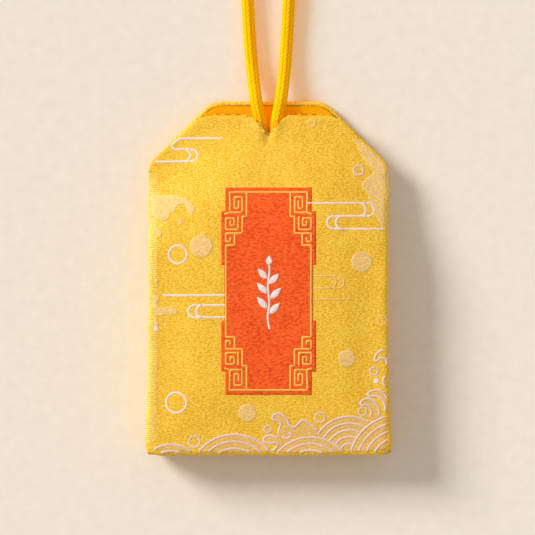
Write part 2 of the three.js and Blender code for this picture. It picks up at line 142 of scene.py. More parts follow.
# Pale bank of cloud in the upper right corner
BANK = (
    (16, 26.1), (17.1, 24.3), (18, 22.3), (19.7, 20.1), (18.6, 18.8), (17.6, 17.5), (18.8, 15.6),
    (18.9, 14.3), (19.7, 12.4), (21.1, 10.2), (21.7, 9.6), (21.9, 14.7), (22.1, 19.4), (21.9, 21.6),
    (20.4, 23.1), (18.4, 25),
)
# Rings of each wave: middle, outer radius, gap between rings, number, first and last angle in degrees,
# and the points that close its filled body
FAR_WAVES = ((15.2, -32.9, 6.9, 1.27, 5, 55, 152, ((15.2, -32.8),)),)
WAVES = (
    (-18.3, -37.5, 6.2, 1.15, 2, 20, 160, ()),
    (-6.4, -37.9, 8.5, 1.3, 3, 20, 160, ()),
    (7.9, -38.1, 8.2, 1.22, 3, 20, 160, ()),
)
NEAR_WAVES = ((24.6, -35.2, 9.5, 1.4, 5, 102, 168, ((22.6, -32.8),)),)
# Curling crests behind the waves: their lines, and the points that close the filled bodies
CRESTS = (
    (((2.2, -29.7), (1.9, -28.7), (2.3, -27.7), (2.1, -26.9), (0.9, -26.6), (0.9, -25.8), (2, -25.4),
      (3.3, -26.2), (3.9, -27.5), (4.6, -28.1), (5.6, -27.4), (6.6, -26.6), (8, -27.5), (9.5, -28.8)),
     ((9.2, -30), (5.7, -30.4), (3.2, -31.2))),
    (((2.2, -29.7), (1.4, -29.9), (0.3, -29.6), (-0.7, -29.9), (-0.8, -30.7), (0.5, -31.05),
      (1.5, -30.8), (1.7, -31.6), (0.6, -32.6)), ((2, -32.2), (3, -31.2))),
    (((2.2, -29.7), (3.3, -30.1), (4.35, -29.6), (4, -29), (3.55, -29.5)), ()),
    (((18.8, -26.3), (19.3, -25.4), (19, -24.2), (18.2, -23.8), (17.4, -23.9), (17.5, -23),
      (18.6, -22.7), (19.9, -23.2), (20.7, -24.6), (20.8, -26.1)), ((19.8, -26.8),)),
    (((21.8, -25.3), (21.9, -23.9), (21.3, -22.8), (20.3, -22.2), (19.1, -22.2), (18.5, -21.7),
      (20.4, -21), (21.7, -21.7), (22.3, -22.9)), ((22.4, -24.9),)),
    (((22.2, -16.6), (22, -15.2), (21, -15), (20.4, -15.6), (19.9, -15.2), (20.4, -14.2),
      (21.2, -13.6), (21.9, -13.9)), ()),
    (((22, -18.3), (21.5, -19.2), (22, -20.7)), ()),
)
# The waves end this far above the bottom seam
WAVE_FOOT = -32.9
# Route of the cord, in millimetres: one end inside the pouch, out under the lip, and the free loop
TAIL_ROUTE = (
    (-1.42, 17.4, 3.3), (-1.42, 22.5, 3.3), (-1.42, 26, 3.3), (-1.42, 27.8, 3.32), (-1.45, 28.9, 3.36),
    (-1.55, 29.6, 3.4),
)
LOOP_ROUTE = (
    (-1.7, 30.4, 3.45), (-2.05, 32, 3.5), (-2.42, 34, 3.3), (-2.8, 37, 2.35), (-3.27, 41.5, 1.5),
    (-3.62, 46.5, 1.3), (-3.95, 52, 1.3), (-4.35, 58, 1.3), (-4.9, 64, 1.3), (-5.35, 69, 1.3),
    (-4.75, 73.2, 1.3), (-2.7, 76, 1.3), (0.1, 76.9, 1.3), (2.9, 76, 1.3), (4.85, 73.2, 1.3),
    (5.4, 69, 1.3), (4.9, 64, 1.3), (4.3, 58, 1.3), (3.85, 52, 1.3), (3.55, 46.5, 1.3),
    (3.22, 41.5, 1.5), (2.8, 37, 2.35), (2.42, 34, 3.3), (2.05, 32, 3.5), (1.7, 30.4, 3.45),
)


# Sizes and colours

def length(name, description, millimetres):
    return FloatProperty(
        name=name, description=description, default=millimetres * MM, unit="LENGTH", precision=5
    )


def colour(name, description, value):
    return FloatVectorProperty(
        name=name, description=description, default=value, min=0, max=1, subtype="COLOR"
    )


class CharmSizes(PropertyGroup):
    """Sizes of the charm that its looks are built from."""

    pouch_width: length("Pouch width", "Across the drawn-in sides", 45.2)
    pouch_height: length("Pouch height", "From the bottom to the top of the back panel", 66.8)
    top_width: length("Top width", "Straight top edge between the slanted corners", 21.6)
    slant_height: length("Slant height", "How far down the slanted corners reach", 11.9)
    corner_flare: length("Corner flare", "How far each bottom corner stands out past the side", 0.8)
    flare_length: length("Flare length", "Length over which the sides draw in", 24)
    lip_drop: length("Lip drop", "From the top of the back panel down to the front lip", 2.9)
    front_set_in: length("Front set-in", "How far the front lies inside the back beside the mouth", 1)
    seam_height: length("Seam height", "Height at which the two panels are sewn together", 3.4)
    front_height: length("Front height", "Height of the front over its shoulders", 7.9)
    front_shoulder: length("Front shoulder", "Width of the rounded edge of the front", 4.4)
    back_shoulder: length("Back shoulder", "Width of the rounded edge of the back", 3)
    crown: length("Crown", "How far the middle of the front rises over its shoulders", 0.6)
    mouth_fall: length("Mouth fall", "How far the front sinks towards the lip", 2.2)
    slant_fall: length("Slant fall", "How far the front sinks towards the slanted corners", 3.2)
    notch: length("Notch", "How far the cord draws the lip down", 3.2)
    lip_rise: length("Lip rise", "How far the cord lifts the lip", 0.55)
    cloth: length("Cloth", "Thickness of the brocade", 0.35)
    lining: length("Lining", "Thickness of the lining", 0.25)
    panel_lift: length("Panel lift", "How far the stitched panel stands over the cloth", 0.12)
    line_width: length("Line width", "Width of the pale stitched lines", 0.43)
    fret_width: length("Fret width", "Width of the golden fret lines", 0.34)
    cord: length("Cord", "Diameter of the braided cord", 2.4)
    plait: length("Plait", "Length of one plait of the cord", 0.9)
    stitch_gap: length("Stitch gap", "Distance between two stitches of the side seams", 0.42)


class CharmColours(PropertyGroup):
    """Colours of the charm and of the sheet under it."""

    brocade: colour("Brocade", "Golden yellow ground cloth", (0.90, 0.55, 0.045))
    # Painted shade and highlight: the deep colour goes into the hollows of the weave, the light one onto
    # its crests
    brocade_hollow_shade: colour("Brocade, deep", "Hollows of the weave", (0.72, 0.36, 0.010))
    brocade_crest_highlight: colour("Brocade, light", "Crests of the weave", (1.0, 0.72, 0.13))
    lining: colour("Lining", "Orange lining in the mouth", (0.98, 0.45, 0.002))
    panel: colour("Panel", "Orange stitching of the panel", (0.91, 0.115, 0.012))
    # Painted shade: the colour put in the hollows between the stitches of the panel
    panel_hollow_shade: colour("Panel, deep", "Hollows between its stitches", (0.72, 0.055, 0.004))
    gold: colour("Gold thread", "Fret lines on the panel", (0.95, 0.50, 0.075))
    pale: colour("Pale thread", "Cloud and wave lines", (0.90, 0.71, 0.66))
    cream: colour("Cream thread", "Filled bubbles, foam and waves", (0.87, 0.57, 0.20))
    wave: colour("Wave thread", "Rings and crests of the waves", (0.78, 0.55, 0.48))
    wave_fill: colour("Wave fill", "Stitching between those rings", (0.82, 0.49, 0.125))
    peach: colour("Peach thread", "Faint clouds and foam", (0.90, 0.53, 0.16))
    seam: colour("Seam thread", "Stitches along the sides", (1.0, 0.82, 0.36))
    # Painted shade: these stitches are made as dark as the shade between them, so their colour stands
    # partly for thread and partly for shadow
    hem: colour("Hem thread", "Dark stitches along the lip", (0.36, 0.075, 0.004))
    cord: colour("Cord", "Bright yellow braid", (1.0, 0.50, 0.001))
    # Painted shade: the colour put in the grooves between the plaits, where shade falls on the braid
    cord_groove_shade: colour("Cord, deep", "Grooves between the plaits", (0.90, 0.23, 0.0))
    wadding: colour("Wadding", "Soft white filling", (0.90, 0.88, 0.82))
    card: colour("Card", "Pasteboard stiffener", (0.60, 0.48, 0.30))
    paper: colour("Paper", "Wrapper round the slip", (0.90, 0.88, 0.81))
    wood: colour("Wood", "Planed wooden slip", (0.72, 0.50, 0.26))
    floor: colour("Floor", "Sheet that the charm lies on", (0.84, 0.772, 0.68))


def sizes():
    return bpy.context.scene.charm_sizes


def colours():
    return bpy.context.scene.charm_colours


# Materials

def put(tree, kind, settings=(), inputs=()):
    """A new node with its settings and its inputs, each a value or the socket that feeds it."""
    node = tree.nodes.new(kind)
    for key, value in dict(settings).items():
        setattr(node, key, value)
    for key, value in dict(inputs).items():
        if isinstance(value, bpy.types.NodeSocket):
            tree.links.new(value, node.inputs[key])
        else:
            node.inputs[key].default_value = value
    return node


def combine(tree, operation, first, second):
    return put(tree, "ShaderNodeMath", {"operation": operation}, {0: first, 1: second}).outputs[0]


def spread_over(tree, value, low, high, new_low, new_high):
    """A value between low and high, spread over a new range and held inside it."""
    inputs = {"Value": value, 1: low, 2: high, 3: new_low, 4: new_high}
    return put(tree, "ShaderNodeMapRange", (), inputs).outputs[0]


def blend_values(tree, share, first, second):
    inputs = {0: share, 2: first, 3: second}
    return put(tree, "ShaderNodeMix", {"data_type": "FLOAT"}, inputs).outputs[0]


def blend_colours(tree, share, first, second):
    inputs = {0: share, 6: (*first, 1), 7: (*second, 1)}
    return put(tree, "ShaderNodeMix", {"data_type": "RGBA"}, inputs).outputs[2]


def mottle(tree, place, scale, detail, roughness=0.5):
    """Noise of a given fineness."""
    inputs = {"Vector": place, "Scale": scale, "Detail": detail, "Roughness": roughness}
    return put(tree, "ShaderNodeTexNoise", (), inputs).outputs["Fac"]


def effect(name, inputs, outputs):
    """A shader node group with its named sockets, and its two end nodes."""
    tree = bpy.data.node_groups.new(name, "ShaderNodeTree")
    for socket, kind, default in inputs:
        made = tree.interface.new_socket(socket, in_out="INPUT", socket_type=kind)
        if default is not None:
            made.default_value = default
    for socket in outputs:
        tree.interface.new_socket(socket, in_out="OUTPUT", socket_type="NodeSocketFloat")
    return tree, tree.nodes.new("NodeGroupInput").outputs, tree.nodes.new("NodeGroupOutput").inputs


def woven_grain():
    """Grain of a satin-faced weave: fine uneven floats that run across, and broad drifts of tone. The tone
    follows the height of the floats: painted shade in the hollows, painted highlight on the crests.
    """
    found = bpy.data.node_groups.get("Woven grain")
    if found:
        return found
    tree, given, out = effect(
        "Woven grain",
        (
            ("Vector", "NodeSocketVector", None),
            ("Floats per mm", "NodeSocketFloat", 2.5),
            ("Drift", "NodeSocketFloat", 0.1),
        ),
        ("Height", "Tone"),
    )
    float_shape = (0.5, 1.15, 1)
    crest_share = 0.4
    drift_scale = 0.22
    floats = {"Vector": given["Vector"], "Scale": float_shape}
    lengths = put(tree, "ShaderNodeMapping", (), floats).outputs[0]
    scale = given["Floats per mm"]
    streaks = mottle(tree, lengths, scale, 1.0, 0.6)
    rounds = {"Vector": lengths, "Scale": scale, "Smoothness": 0.3}
    cells = put(tree, "ShaderNodeTexVoronoi", {"feature": "SMOOTH_F1"}, rounds).outputs["Distance"]
    broad = mottle(tree, given["Vector"], drift_scale, 3.0)
    streak = spread_over(tree, streaks, 0.28, 0.72, 0.0, 1.0)
    crest = spread_over(tree, cells, 0.1, 0.7, 1.0, 0.0)
    height = blend_values(tree, crest_share, streak, crest)
    tree.links.new(height, out["Height"])
    drift = spread_over(tree, broad, 0.3, 0.7, -0.5, 0.5)
    drift = combine(tree, "MULTIPLY", drift, given["Drift"])
    # Tone is the height plus the random drift: painted shade and highlight from the relief, with random
    # tone
    tree.links.new(combine(tree, "ADD", height, drift), out["Tone"])
    return tree


def spun_fibre():
    """Fine streaks of spun thread."""
    found = bpy.data.node_groups.get("Spun fibre")
    if found:
        return found
    tree, given, out = effect(
        "Spun fibre",
        (
            ("Vector", "NodeSocketVector", None),
            ("Streaks per mm", "NodeSocketFloat", 6.0),
            ("Stretch", "NodeSocketVector", (1, 1, 1)),
        ),
        ("Height", "Tone"),
    )
    drift_scale = 0.6
    both = {0: given["Vector"], 1: given["Stretch"]}
    stretched = put(tree, "ShaderNodeVectorMath", {"operation": "MULTIPLY"}, both).outputs[0]
    streaks = mottle(tree, stretched, given["Streaks per mm"], 3.0, 0.6)
    broad = mottle(tree, given["Vector"], drift_scale, 2.0)
    height = spread_over(tree, streaks, 0.25, 0.75, 0.0, 1.0)
    tree.links.new(height, out["Height"])
    drift = spread_over(tree, broad, 0.3, 0.7, -0.2, 0.2)
    tree.links.new(combine(tree, "ADD", height, drift), out["Tone"])
    return tree


def grained(tree, group, place, values):
    """Tone and height that a shared effect gives at a place."""
    made = put(tree, "ShaderNodeGroup", {"node_tree": group}, {"Vector": place, **values})
    return made.outputs["Tone"], made.outputs["Height"]


def in_millimetres(tree, uv_map=None, per_unit=1 / MM):
    """The place on the piece in millimetres, from its UV map or its own coordinates."""
    if uv_map:
        place = put(tree, "ShaderNodeUVMap", {"uv_map": uv_map}).outputs[0]
    else:
        place = put(tree, "ShaderNodeTexCoord").outputs["Object"]
    return put(tree, "ShaderNodeMapping", (), {"Vector": place, "Scale": (per_unit,) * 3}).outputs[0]


def tinted(value, share, lift=0.0):
    """A colour made darker or lighter by a share, and lifted a little."""
    return tuple(min(1.0, share * c + lift) for c in value)


def finish_with(material, tone, height, ramp, roughness, bump, sheen=0.0, gloss=0.2):
    """Colour, roughness and relief of a finish from its tone and height. Hollows are rougher than
    crests, and the bump is a strength and a depth in millimetres."""
    hollow_rougher = 0.12
    crest_smoother = 0.08
    tree = material.node_tree
    shader = tree.nodes["Principled BSDF"]
    stops = put(tree, "ShaderNodeValToRGB", (), {"Fac": tone})
    elements = stops.color_ramp.elements
    while len(elements) < len(ramp):
        elements.new(0.5)
    for element, (place, value) in zip(elements, ramp, strict=True):
        element.position = place
        element.color = (*value, 1)
    tree.links.new(stops.outputs["Color"], shader.inputs["Base Color"])
    rough = spread_over(tree, height, 0.0, 1.0, roughness + hollow_rougher, roughness - crest_smoother)
    tree.links.new(rough, shader.inputs["Roughness"])
    strength, depth = bump
    relief = {"Strength": strength, "Distance": depth * MM, "Height": height}
    tree.links.new(put(tree, "ShaderNodeBump", (), relief).outputs[0], shader.inputs["Normal"])
    shader.inputs["Specular IOR Level"].default_value = gloss
    shader.inputs["Sheen Weight"].default_value = sheen
    shader.inputs["Sheen Roughness"].default_value = 0.4


def let_light_in(material, weight):
    """Warm light that wanders a little way through loosely spun threads."""
    shader = material.node_tree.nodes["Principled BSDF"]
    shader.inputs["Subsurface Weight"].default_value = weight
    shader.inputs["Subsurface Radius"].default_value = (1.0, 0.35, 0.02)
    shader.inputs["Subsurface Scale"].default_value = 1.5 * MM


def new_finish(name):
    """The material of that name, and whether it still has to be filled in."""
    material = bpy.data.materials.get(name)
    if material:
        return material, False
    material = bpy.data.materials.new(name)
    material.use_nodes = True
    return material, True


def woven_finish(
    name, deep, middle, light, floats, uv_map=None, per_unit=1 / MM, drift=0.12, bump=(0.5, 0.12), gloss=0.2
):
    """Woven or closely stitched cloth, from the colour of its hollows to that of its crests: painted shade
    in the hollows and painted highlight on the crests.
    """
    material, fresh = new_finish(name)
    if fresh:
        tree = material.node_tree
        place = in_millimetres(tree, uv_map, per_unit)
        weave = {"Floats per mm": floats, "Drift": drift}
        tone, height = grained(tree, woven_grain(), place, weave)
        # Painted shade in the hollows and painted highlight on the crests, from the height of the weave;
        # the drift adds random tone
        ramp = ((0.12, deep), (0.5, middle), (0.9, light))
        finish_with(material, tone, height, ramp, 0.58, bump, 0.02, gloss)
    return material


def thread_finish(name, value, streaks=5.0, stretch=(1, 1, 1)):
    """Spun thread, and other plain stuff with a fine grain."""
    material, fresh = new_finish(name)
    if fresh:
        tree = material.node_tree
        fibre = {"Streaks per mm": streaks, "Stretch": stretch}
        tone, height = grained(tree, spun_fibre(), in_millimetres(tree), fibre)
        ramp = ((0.1, tinted(value, 0.8)), (0.5, value), (0.95, tinted(value, 1.08, 0.01)))
        finish_with(material, tone, height, ramp, 0.55, (0.4, 0.08), 0.03)
    return material


def brocade_finish():
    c = colours()
    return woven_finish(
        "golden brocade", c.brocade_hollow_shade, c.brocade, c.brocade_crest_highlight, 4.2, CLOTH_UV, UV_SPAN / MM
    )


def lining_finish():
    c = colours().lining
    return woven_finish(
        "orange lining", tinted(c, 0.85), c, tinted(c, 1.1), 4.5, CLOTH_UV, UV_SPAN / MM, gloss=0.05
    )


def patch_finish(name, value):
    light = tinted(value, 1.12, 0.02)
    return woven_finish(name, tinted(value, 0.8), value, light, 4.0, bump=(0.35, 0.08))


def panel_finish():
    c = colours()
    # Painted highlight: the lightened colour on the crests of the stitching
    light = tinted(c.panel, 1.1, 0.02)
    return woven_finish("panel stitching", c.panel_hollow_shade, c.panel, light, 2.8, drift=0.25)


def cord_finish():
    """Braid: painted shade darkens its grooves and a painted highlight lightens its plaits, with the fine
    threads of each plait along it.
    """
    material, fresh = new_finish("braided cord")
    if fresh:
        tree = material.node_tree
        c = colours()
        fibre = {"Streaks per mm": 7.0, "Stretch": (1.6, 0.5, 1)}
        tone, height = grained(tree, spun_fibre(), in_millimetres(tree, BRAID_UV, 1.0), fibre)
        crest = put(tree, "ShaderNodeAttribute", {"attribute_name": CREST}).outputs["Fac"]
        tone = combine(tree, "ADD", crest, combine(tree, "MULTIPLY", tone, 0.25))
        # The ramp follows the crest mark: painted shade in the grooves, painted highlight on the plaits
        ramp = ((0.1, c.cord_groove_shade), (0.6, c.cord), (11 / 12, tinted(c.cord, 1.12)))
        finish_with(material, tone, height, ramp, 0.6, (0.35, 0.05), 0.0, 0.03)
        let_light_in(material, 0.6)
    return material


def floor_finish():
    material, fresh = new_finish("floor sheet")
    if fresh:
        tree = material.node_tree
        value = colours().floor
        pulp = mottle(tree, in_millimetres(tree), 0.5, 5.0)
        ramp = ((0.3, tinted(value, 0.97)), (0.7, tinted(value, 1.02)))
        finish_with(material, pulp, pulp, ramp, 0.85, (0.15, 0.1))
    return material


# Shape of the pouch

def soft_least(first, second, width):
    """The smaller of two distances, rounded off where they meet."""
    share = np.clip(1 - np.abs(first - second) / width, 0, 1)
    return np.minimum(first, second) - share * share * width / 4


def soft_step(value, start, end):
    share = np.clip((value - start) / (end - start), 0, 1)
    return share * share * (3 - 2 * share)


class Cut:
    """Plan outline of a panel."""

    foot_round = 3.0 * MM
    top_round = 1.4 * MM
    # The flare goes on a little below the bottom, for the cloth that is turned in there
    most_flare = 1.15

    def __init__(self, top, set_in, inset=0.0):
        s = sizes()
        self.half = s.pouch_width / 2 - inset
        self.bottom = -s.pouch_height / 2 + inset
        self.top = top - inset
        corner = (s.top_width / 2 - set_in, s.pouch_height / 2)
        run = corner[0] - s.pouch_width / 2
        slant = math.hypot(run, s.slant_height)
        self.slant_out = (s.slant_height / slant, -run / slant)
        self.reach = self.slant_out[0] * corner[0] + self.slant_out[1] * corner[1] - inset
        self.flare = s.corner_flare
        self.flare_length = s.flare_length

    def inset(self, x, y):
        """How far inside the outline a point lies."""
        x = np.abs(x)
        drawn_in = (y - self.bottom) / self.flare_length
        side = self.half + self.flare * np.clip(1 - drawn_in, 0, self.most_flare) ** 2 - x
        slant = self.reach - self.slant_out[0] * x - self.slant_out[1] * y
        body = soft_least(side, y - self.bottom, self.foot_round)
        body = soft_least(body, slant, self.top_round)
        return soft_least(body, self.top - y, self.top_round)

    def settle(self, x, y, inset):
        """Points moved straight in or out until they lie a given distance inside the outline."""
        step = 0.05 * MM
        least_slope = 0.2
        for _ in range(6):
            across = (self.inset(x + step, y) - self.inset(x - step, y)) / (2 * step)
            along = (self.inset(x, y + step) - self.inset(x, y - step)) / (2 * step)
            miss = (self.inset(x, y) - inset) / np.maximum(across**2 + along**2, least_slope)
            x = x - across * miss
            y = y - along * miss
        return x, y

    def half_width(self, y, margin):
        """Half the width at a height, with a margin all round, found by halving."""
        slack = 1e-9
        low = np.zeros_like(y)
        high = np.full_like(y, self.half + 4 * margin + 5 * MM)
        for _ in range(44):
            middle = (low + high) / 2
            inside = self.inset(middle, y) >= -margin - slack
            low = np.where(inside, middle, low)
            high = np.where(inside, high, middle)
        return low


class Sheet:
    """A panel of cloth: a flat cut that turns in at its seam and rises over a rounded shoulder."""

    # Cloth that is turned in, how far the turn reaches in, and its height
    turn = 0.9 * MM
    turn_reach = 0.6 * MM
    edge_roll = 0.7 * MM
    # From the edge to where the crown is full, and how boxy the shoulder is
    centre = 15 * MM
    fullness = 2.0
    # From the seam to the rim of either panel, and how far below the lip the rims begin to part
    seam_gap = 0.15 * MM
    lip_reach = 6 * MM

    def __init__(self, side, cut, shoulder, drop, crown=0.0):
        self.side = side
        self.cut = cut
        self.shoulder = shoulder
        self.crown = crown
        angle = np.linspace(0, math.pi / 2, 180)
        self.in_by = 1 - np.cos(angle) ** (2 / self.fullness)
        self.up_by = np.sin(angle) ** (2 / self.fullness)
        steps = np.hypot(np.diff(self.in_by) * shoulder, np.diff(self.up_by) * drop)
        self.climb = np.concatenate([[0], np.cumsum(steps)])
        self.arc = self.climb[-1]
        self.margin = self.turn + self.arc - shoulder

    def at_lip(self, y):
        """Share of the way from the seam to the lip."""
        lip = sizes().pouch_height / 2 - sizes().lip_drop
        return soft_step(y, lip - self.lip_reach, lip)

    def fold(self, x, y):
        return np.full_like(y, math.pi / 2)

    def roll(self, y):
        return np.full_like(y, self.edge_roll)

    def drawn(self, x, y):
        return y

    def place(self, x, y):
        """Where points of the flat cut come to lie."""
        run = self.cut.inset(x, y) + self.margin
        fold = np.clip(1 - run / self.turn, 0, 1) * self.fold(x, y)
        in_by = np.interp(run - self.turn, self.climb, self.in_by)
        up_by = np.interp(run - self.turn, self.climb, self.up_by)
        past = np.maximum(run - self.turn - self.arc, 0)
        turned = run < self.turn
        inset = np.where(turned, self.turn_reach * (1 - np.cos(fold)), self.shoulder * in_by) + past
        at_x, at_y = self.cut.settle(x, y, inset)
        rim = self.rim(at_x, at_y)
        roll = self.roll(at_y)
        edge = rim + self.side * roll
        level = self.level(at_x, at_y)
        top = edge + (level - edge) * up_by + self.crown * soft_step(inset, 0, self.centre)
        z = np.where(turned, edge - self.side * roll * np.sin(fold), top)
        return np.stack([at_x, self.drawn(at_x, at_y), z], axis=1)

    def at_run(self, y, run, hand):
        """Points of the flat cut beside a side seam, a given run of cloth in from the edge."""
        return hand * self.cut.half_width(y, self.margin - run), y


class FrontSheet(Sheet):
    """The front: a full shoulder, a fall towards the mouth, and a lip that lies on the two strands."""

    fullness = 10.0
    # Height of the lip, and how far from the middle, how broadly and how fully the strands hold it up
    lip_rim = 3.9 * MM
    strand_at = 1.45 * MM
    strand_reach = 1.4 * MM
    strand_hold = 0.85
    # From the lip and from the slanted corners to where the front begins to fall, and how softly the
    # falls of both corners meet in the middle
    mouth_reach = 20 * MM
    slant_reach = 14 * MM
    slant_meet = 4 * MM
    # Beside the mouth the rim sinks onto the back: how near the slanted edge, and from where to where
    # below the lip
    corner_reach = 4 * MM
    corner_from = 8 * MM
    corner_to = 1 * MM
    # Half width, steepness and depth of the place where the cord draws the lip down
    notch_half = 2.1 * MM
    notch_steep = 2.4
    notch_reach = 7 * MM

    def __init__(self, inset=0.0, height=None, falls=None, edge_roll=0.7 * MM, slant_drop=0.75 * MM):
        s = sizes()
        self.slant_drop = slant_drop
        self.lip = s.pouch_height / 2 - s.lip_drop
        self.height = s.front_height if height is None else height
        self.mouth_fall, self.slant_fall = falls or (s.mouth_fall, s.slant_fall)
        self.edge_roll = edge_roll
        cut = Cut(self.lip, s.front_set_in, inset)
        drop = self.height - s.seam_height - self.seam_gap - edge_roll
        super().__init__(1, cut, s.front_shoulder - inset, drop, s.crown)

    def over_cord(self, x, y):
        """Share of the lip that lies on the two strands."""
        reach = (np.abs(x) - self.strand_at) / self.strand_reach
        return self.at_lip(y) * np.exp(-reach * reach)

    def near_slant(self, x, y, reach=slant_reach):
        """Share of the fall towards the slanted corners."""
        out = self.cut.slant_out
        away = self.cut.reach - out[0] * np.hypot(x, self.slant_meet) - out[1] * y
        return 1 - soft_step(away, 0, reach)

    def fold(self, x, y):
        return math.pi / 2 * (1 - self.strand_hold * self.over_cord(x, y))

    def rim(self, x, y):
        seam = sizes().seam_height + self.seam_gap
        lip = (self.lip_rim - seam) * self.at_lip(y) + sizes().lip_rise * self.over_cord(x, y)
        mouth = soft_step(y, self.lip - self.corner_from, self.lip - self.corner_to)
        return seam + lip - self.slant_drop * mouth * self.near_slant(x, y, self.corner_reach)

    def level(self, x, y):
        slant = self.near_slant(x, y)
        mouth = soft_step(y, self.lip - self.mouth_reach, self.lip) * (1 - slant)
        lifted = self.height + sizes().lip_rise * self.over_cord(x, y)
        return lifted - self.mouth_fall * mouth - self.slant_fall * slant

    def drawn(self, x, y):
        reach = np.abs(x / self.notch_half) ** self.notch_steep
        share = soft_step(y, self.lip - self.notch_reach, self.lip)
        return y - sizes().notch * share * np.exp(-reach)


class BackSheet(Sheet):
    """The back: flat, with a mouth that is rolled over."""

    # From the seam down to where the shoulder begins
    shoulder_drop = 0.85 * MM
    # Height of the rim at the mouth, and what the mouth adds to the angle and to the height of the turn
    mouth_rim = 2.0 * MM
    mouth_fold = 1.15
    mouth_roll = 0.2 * MM

    def __init__(self, inset=0.0, height=0.0):
        s = sizes()
        self.height = height
        cut = Cut(s.pouch_height / 2, 0.0, inset)
        super().__init__(-1, cut, s.back_shoulder - inset, s.seam_height - self.shoulder_drop)

    def rim(self, x, y):
        seam = sizes().seam_height - self.seam_gap
        return seam + (self.mouth_rim - seam) * self.at_lip(y)

    def level(self, x, y):
        return np.full_like(x, self.height)

    def fold(self, x, y):
        return math.pi / 2 + self.mouth_fold * self.at_lip(y)

    def roll(self, y):
        return self.edge_roll + self.mouth_roll * self.at_lip(y)


class BackLining(BackSheet):
    """The lining of the back, which lies open in the mouth."""

    mouth_rim = 2.1 * MM
    mouth_fold = -math.pi / 2
    mouth_roll = -0.66 * MM
    # Its height inside and in the mouth, and the stretch up the pouch over which it rises
    inner_level = 0.95 * MM
    mouth_level = 2.05 * MM
    rise_from = 22 * MM
    rise_to = 28 * MM

    def __init__(self):
        super().__init__(LINING_INSET, self.inner_level)

    def level(self, x, y):
        risen = soft_step(y, self.rise_from, self.rise_to)
        return self.height + (self.mouth_level - self.height) * risen


def eased(share, ends, middle=0.0):
    """Shares from 0 to 1 that lie closer together at both ends, and in the middle."""
    return (
        share
        - (ends - middle) / (2 * math.pi) * np.sin(2 * math.pi * share)
        - middle / (4 * math.pi) * np.sin(4 * math.pi * share)
    )


def flat_cut(sheet, columns, rows, middle):
    """A grid cut to the flat outline of a sheet, and its flat coordinates."""
    closer_up = 0.78
    closer_across = 0.75
    bm = bmesh.new()
    bmesh.ops.create_grid(bm, x_segments=columns, y_segments=rows, size=1)
    bm.verts.index_update()
    grid = np.array([v.co[:2] for v in bm.verts])
    low = sheet.cut.bottom - sheet.margin
    high = sheet.cut.top + sheet.margin
    y = low + (high - low) * eased((grid[:, 1] + 1) / 2, closer_up)
    across = 2 * eased((grid[:, 0] + 1) / 2, closer_across, middle) - 1
    return bm, sheet.cut.half_width(y, sheet.margin) * across, y


def lay_uv(bm, x, y):
    layer = bm.loops.layers.uv.new(CLOTH_UV)
    for face in bm.faces:
        for loop in face.loops:
            i = loop.vert.index
            loop[layer].uv = (0.5 + x[i] / UV_SPAN, 0.5 + y[i] / UV_SPAN)


def sewn_sheet(name, sheet, columns, rows, middle=0.0):
    """A mesh of a sheet in its sewn shape, with the flat cut as its UV map."""
    bm, x, y = flat_cut(sheet, columns, rows, middle)
    places = sheet.place(x, y)
    lay_uv(bm, x, y)
    for vert, place in zip(bm.verts, places, strict=True):
        vert.co = place
    if sheet.side < 0:
        bmesh.ops.reverse_faces(bm, faces=bm.faces)
    return mesh_of(bm, name), sheet.cut.inset(x, y) + sheet.margin


def swell(mesh, held, share, pressure, cap):
    """Lets cloth fill out under an even pressure. Held points stay, the others take their share of
    the movement, and none moves further than the cap. The simulation runs at ten times the size, at
    which its stiffness settings suit a pad."""
    scale = 10.0
    frames = 20
    rest = np.array([v.co for v in mesh.vertices])
    copy = mesh.copy()
    copy.vertices.foreach_set("co", (rest * scale).ravel())
    trial = bpy.data.objects.new("swelling", copy)
    scene = bpy.context.scene
    scene.collection.objects.link(trial)
    group = trial.vertex_groups.new(name="held")
    group.add([int(i) for i in np.flatnonzero(held)], 1.0, "REPLACE")
    cloth = trial.modifiers.new("Cloth", "CLOTH")
    cloth.settings.quality = 5
    cloth.settings.mass = 0.05
    cloth.settings.tension_stiffness = 25
    cloth.settings.compression_stiffness = 25
    cloth.settings.shear_stiffness = 12
    cloth.settings.bending_stiffness = 2
    cloth.settings.vertex_group_mass = "held"
    cloth.settings.use_pressure = True
    cloth.settings.uniform_pressure_force = pressure
    cloth.settings.effector_weights.gravity = 0
    cloth.collision_settings.use_collision = False
    for number in range(1, frames + 1):
        scene.frame_set(number)
    made = trial.evaluated_get(bpy.context.evaluated_depsgraph_get()).to_mesh()
    moved = np.array([v.co for v in made.vertices]) / scale - rest
    scene.frame_set(1)
    bpy.data.objects.remove(trial)
    bpy.data.meshes.remove(copy)
    far = np.linalg.norm(moved, axis=1)
    keep = share * cap * np.tanh(far / cap) / np.maximum(far, 1e-12)
    mesh.vertices.foreach_set("co", (rest + moved * keep[:, None]).ravel())
    mesh.update()


def pucker(mesh, run, depth):
    """Small uneven gathers along a sewn edge, deepest a little way in from it."""
    deepest = 3.6 * MM
    reach = 2.4 * MM
    broad_per_mm = 0.42
    fine_per_mm = 0.95
    fine_share = 0.35
    mesh.update()
    for vert, along in zip(mesh.vertices, run, strict=True):
        near = math.exp(-(((along - deepest) / reach) ** 2))
        place = vert.co / MM
        broad = noise.noise(Vector((place.x * broad_per_mm, place.y * broad_per_mm, 3.7)))
        fine = noise.noise(Vector((place.x * fine_per_mm, place.y * fine_per_mm, 9.1)))
        vert.co += vert.normal * (depth * near * (broad + fine_share * fine))
    mesh.update()


# Making pieces

def mesh_of(bm, name):
    """A mesh from a finished bmesh, which is freed."""
    mesh = bpy.data.meshes.new(name)
    bm.to_mesh(mesh)
    bm.free()
    return mesh


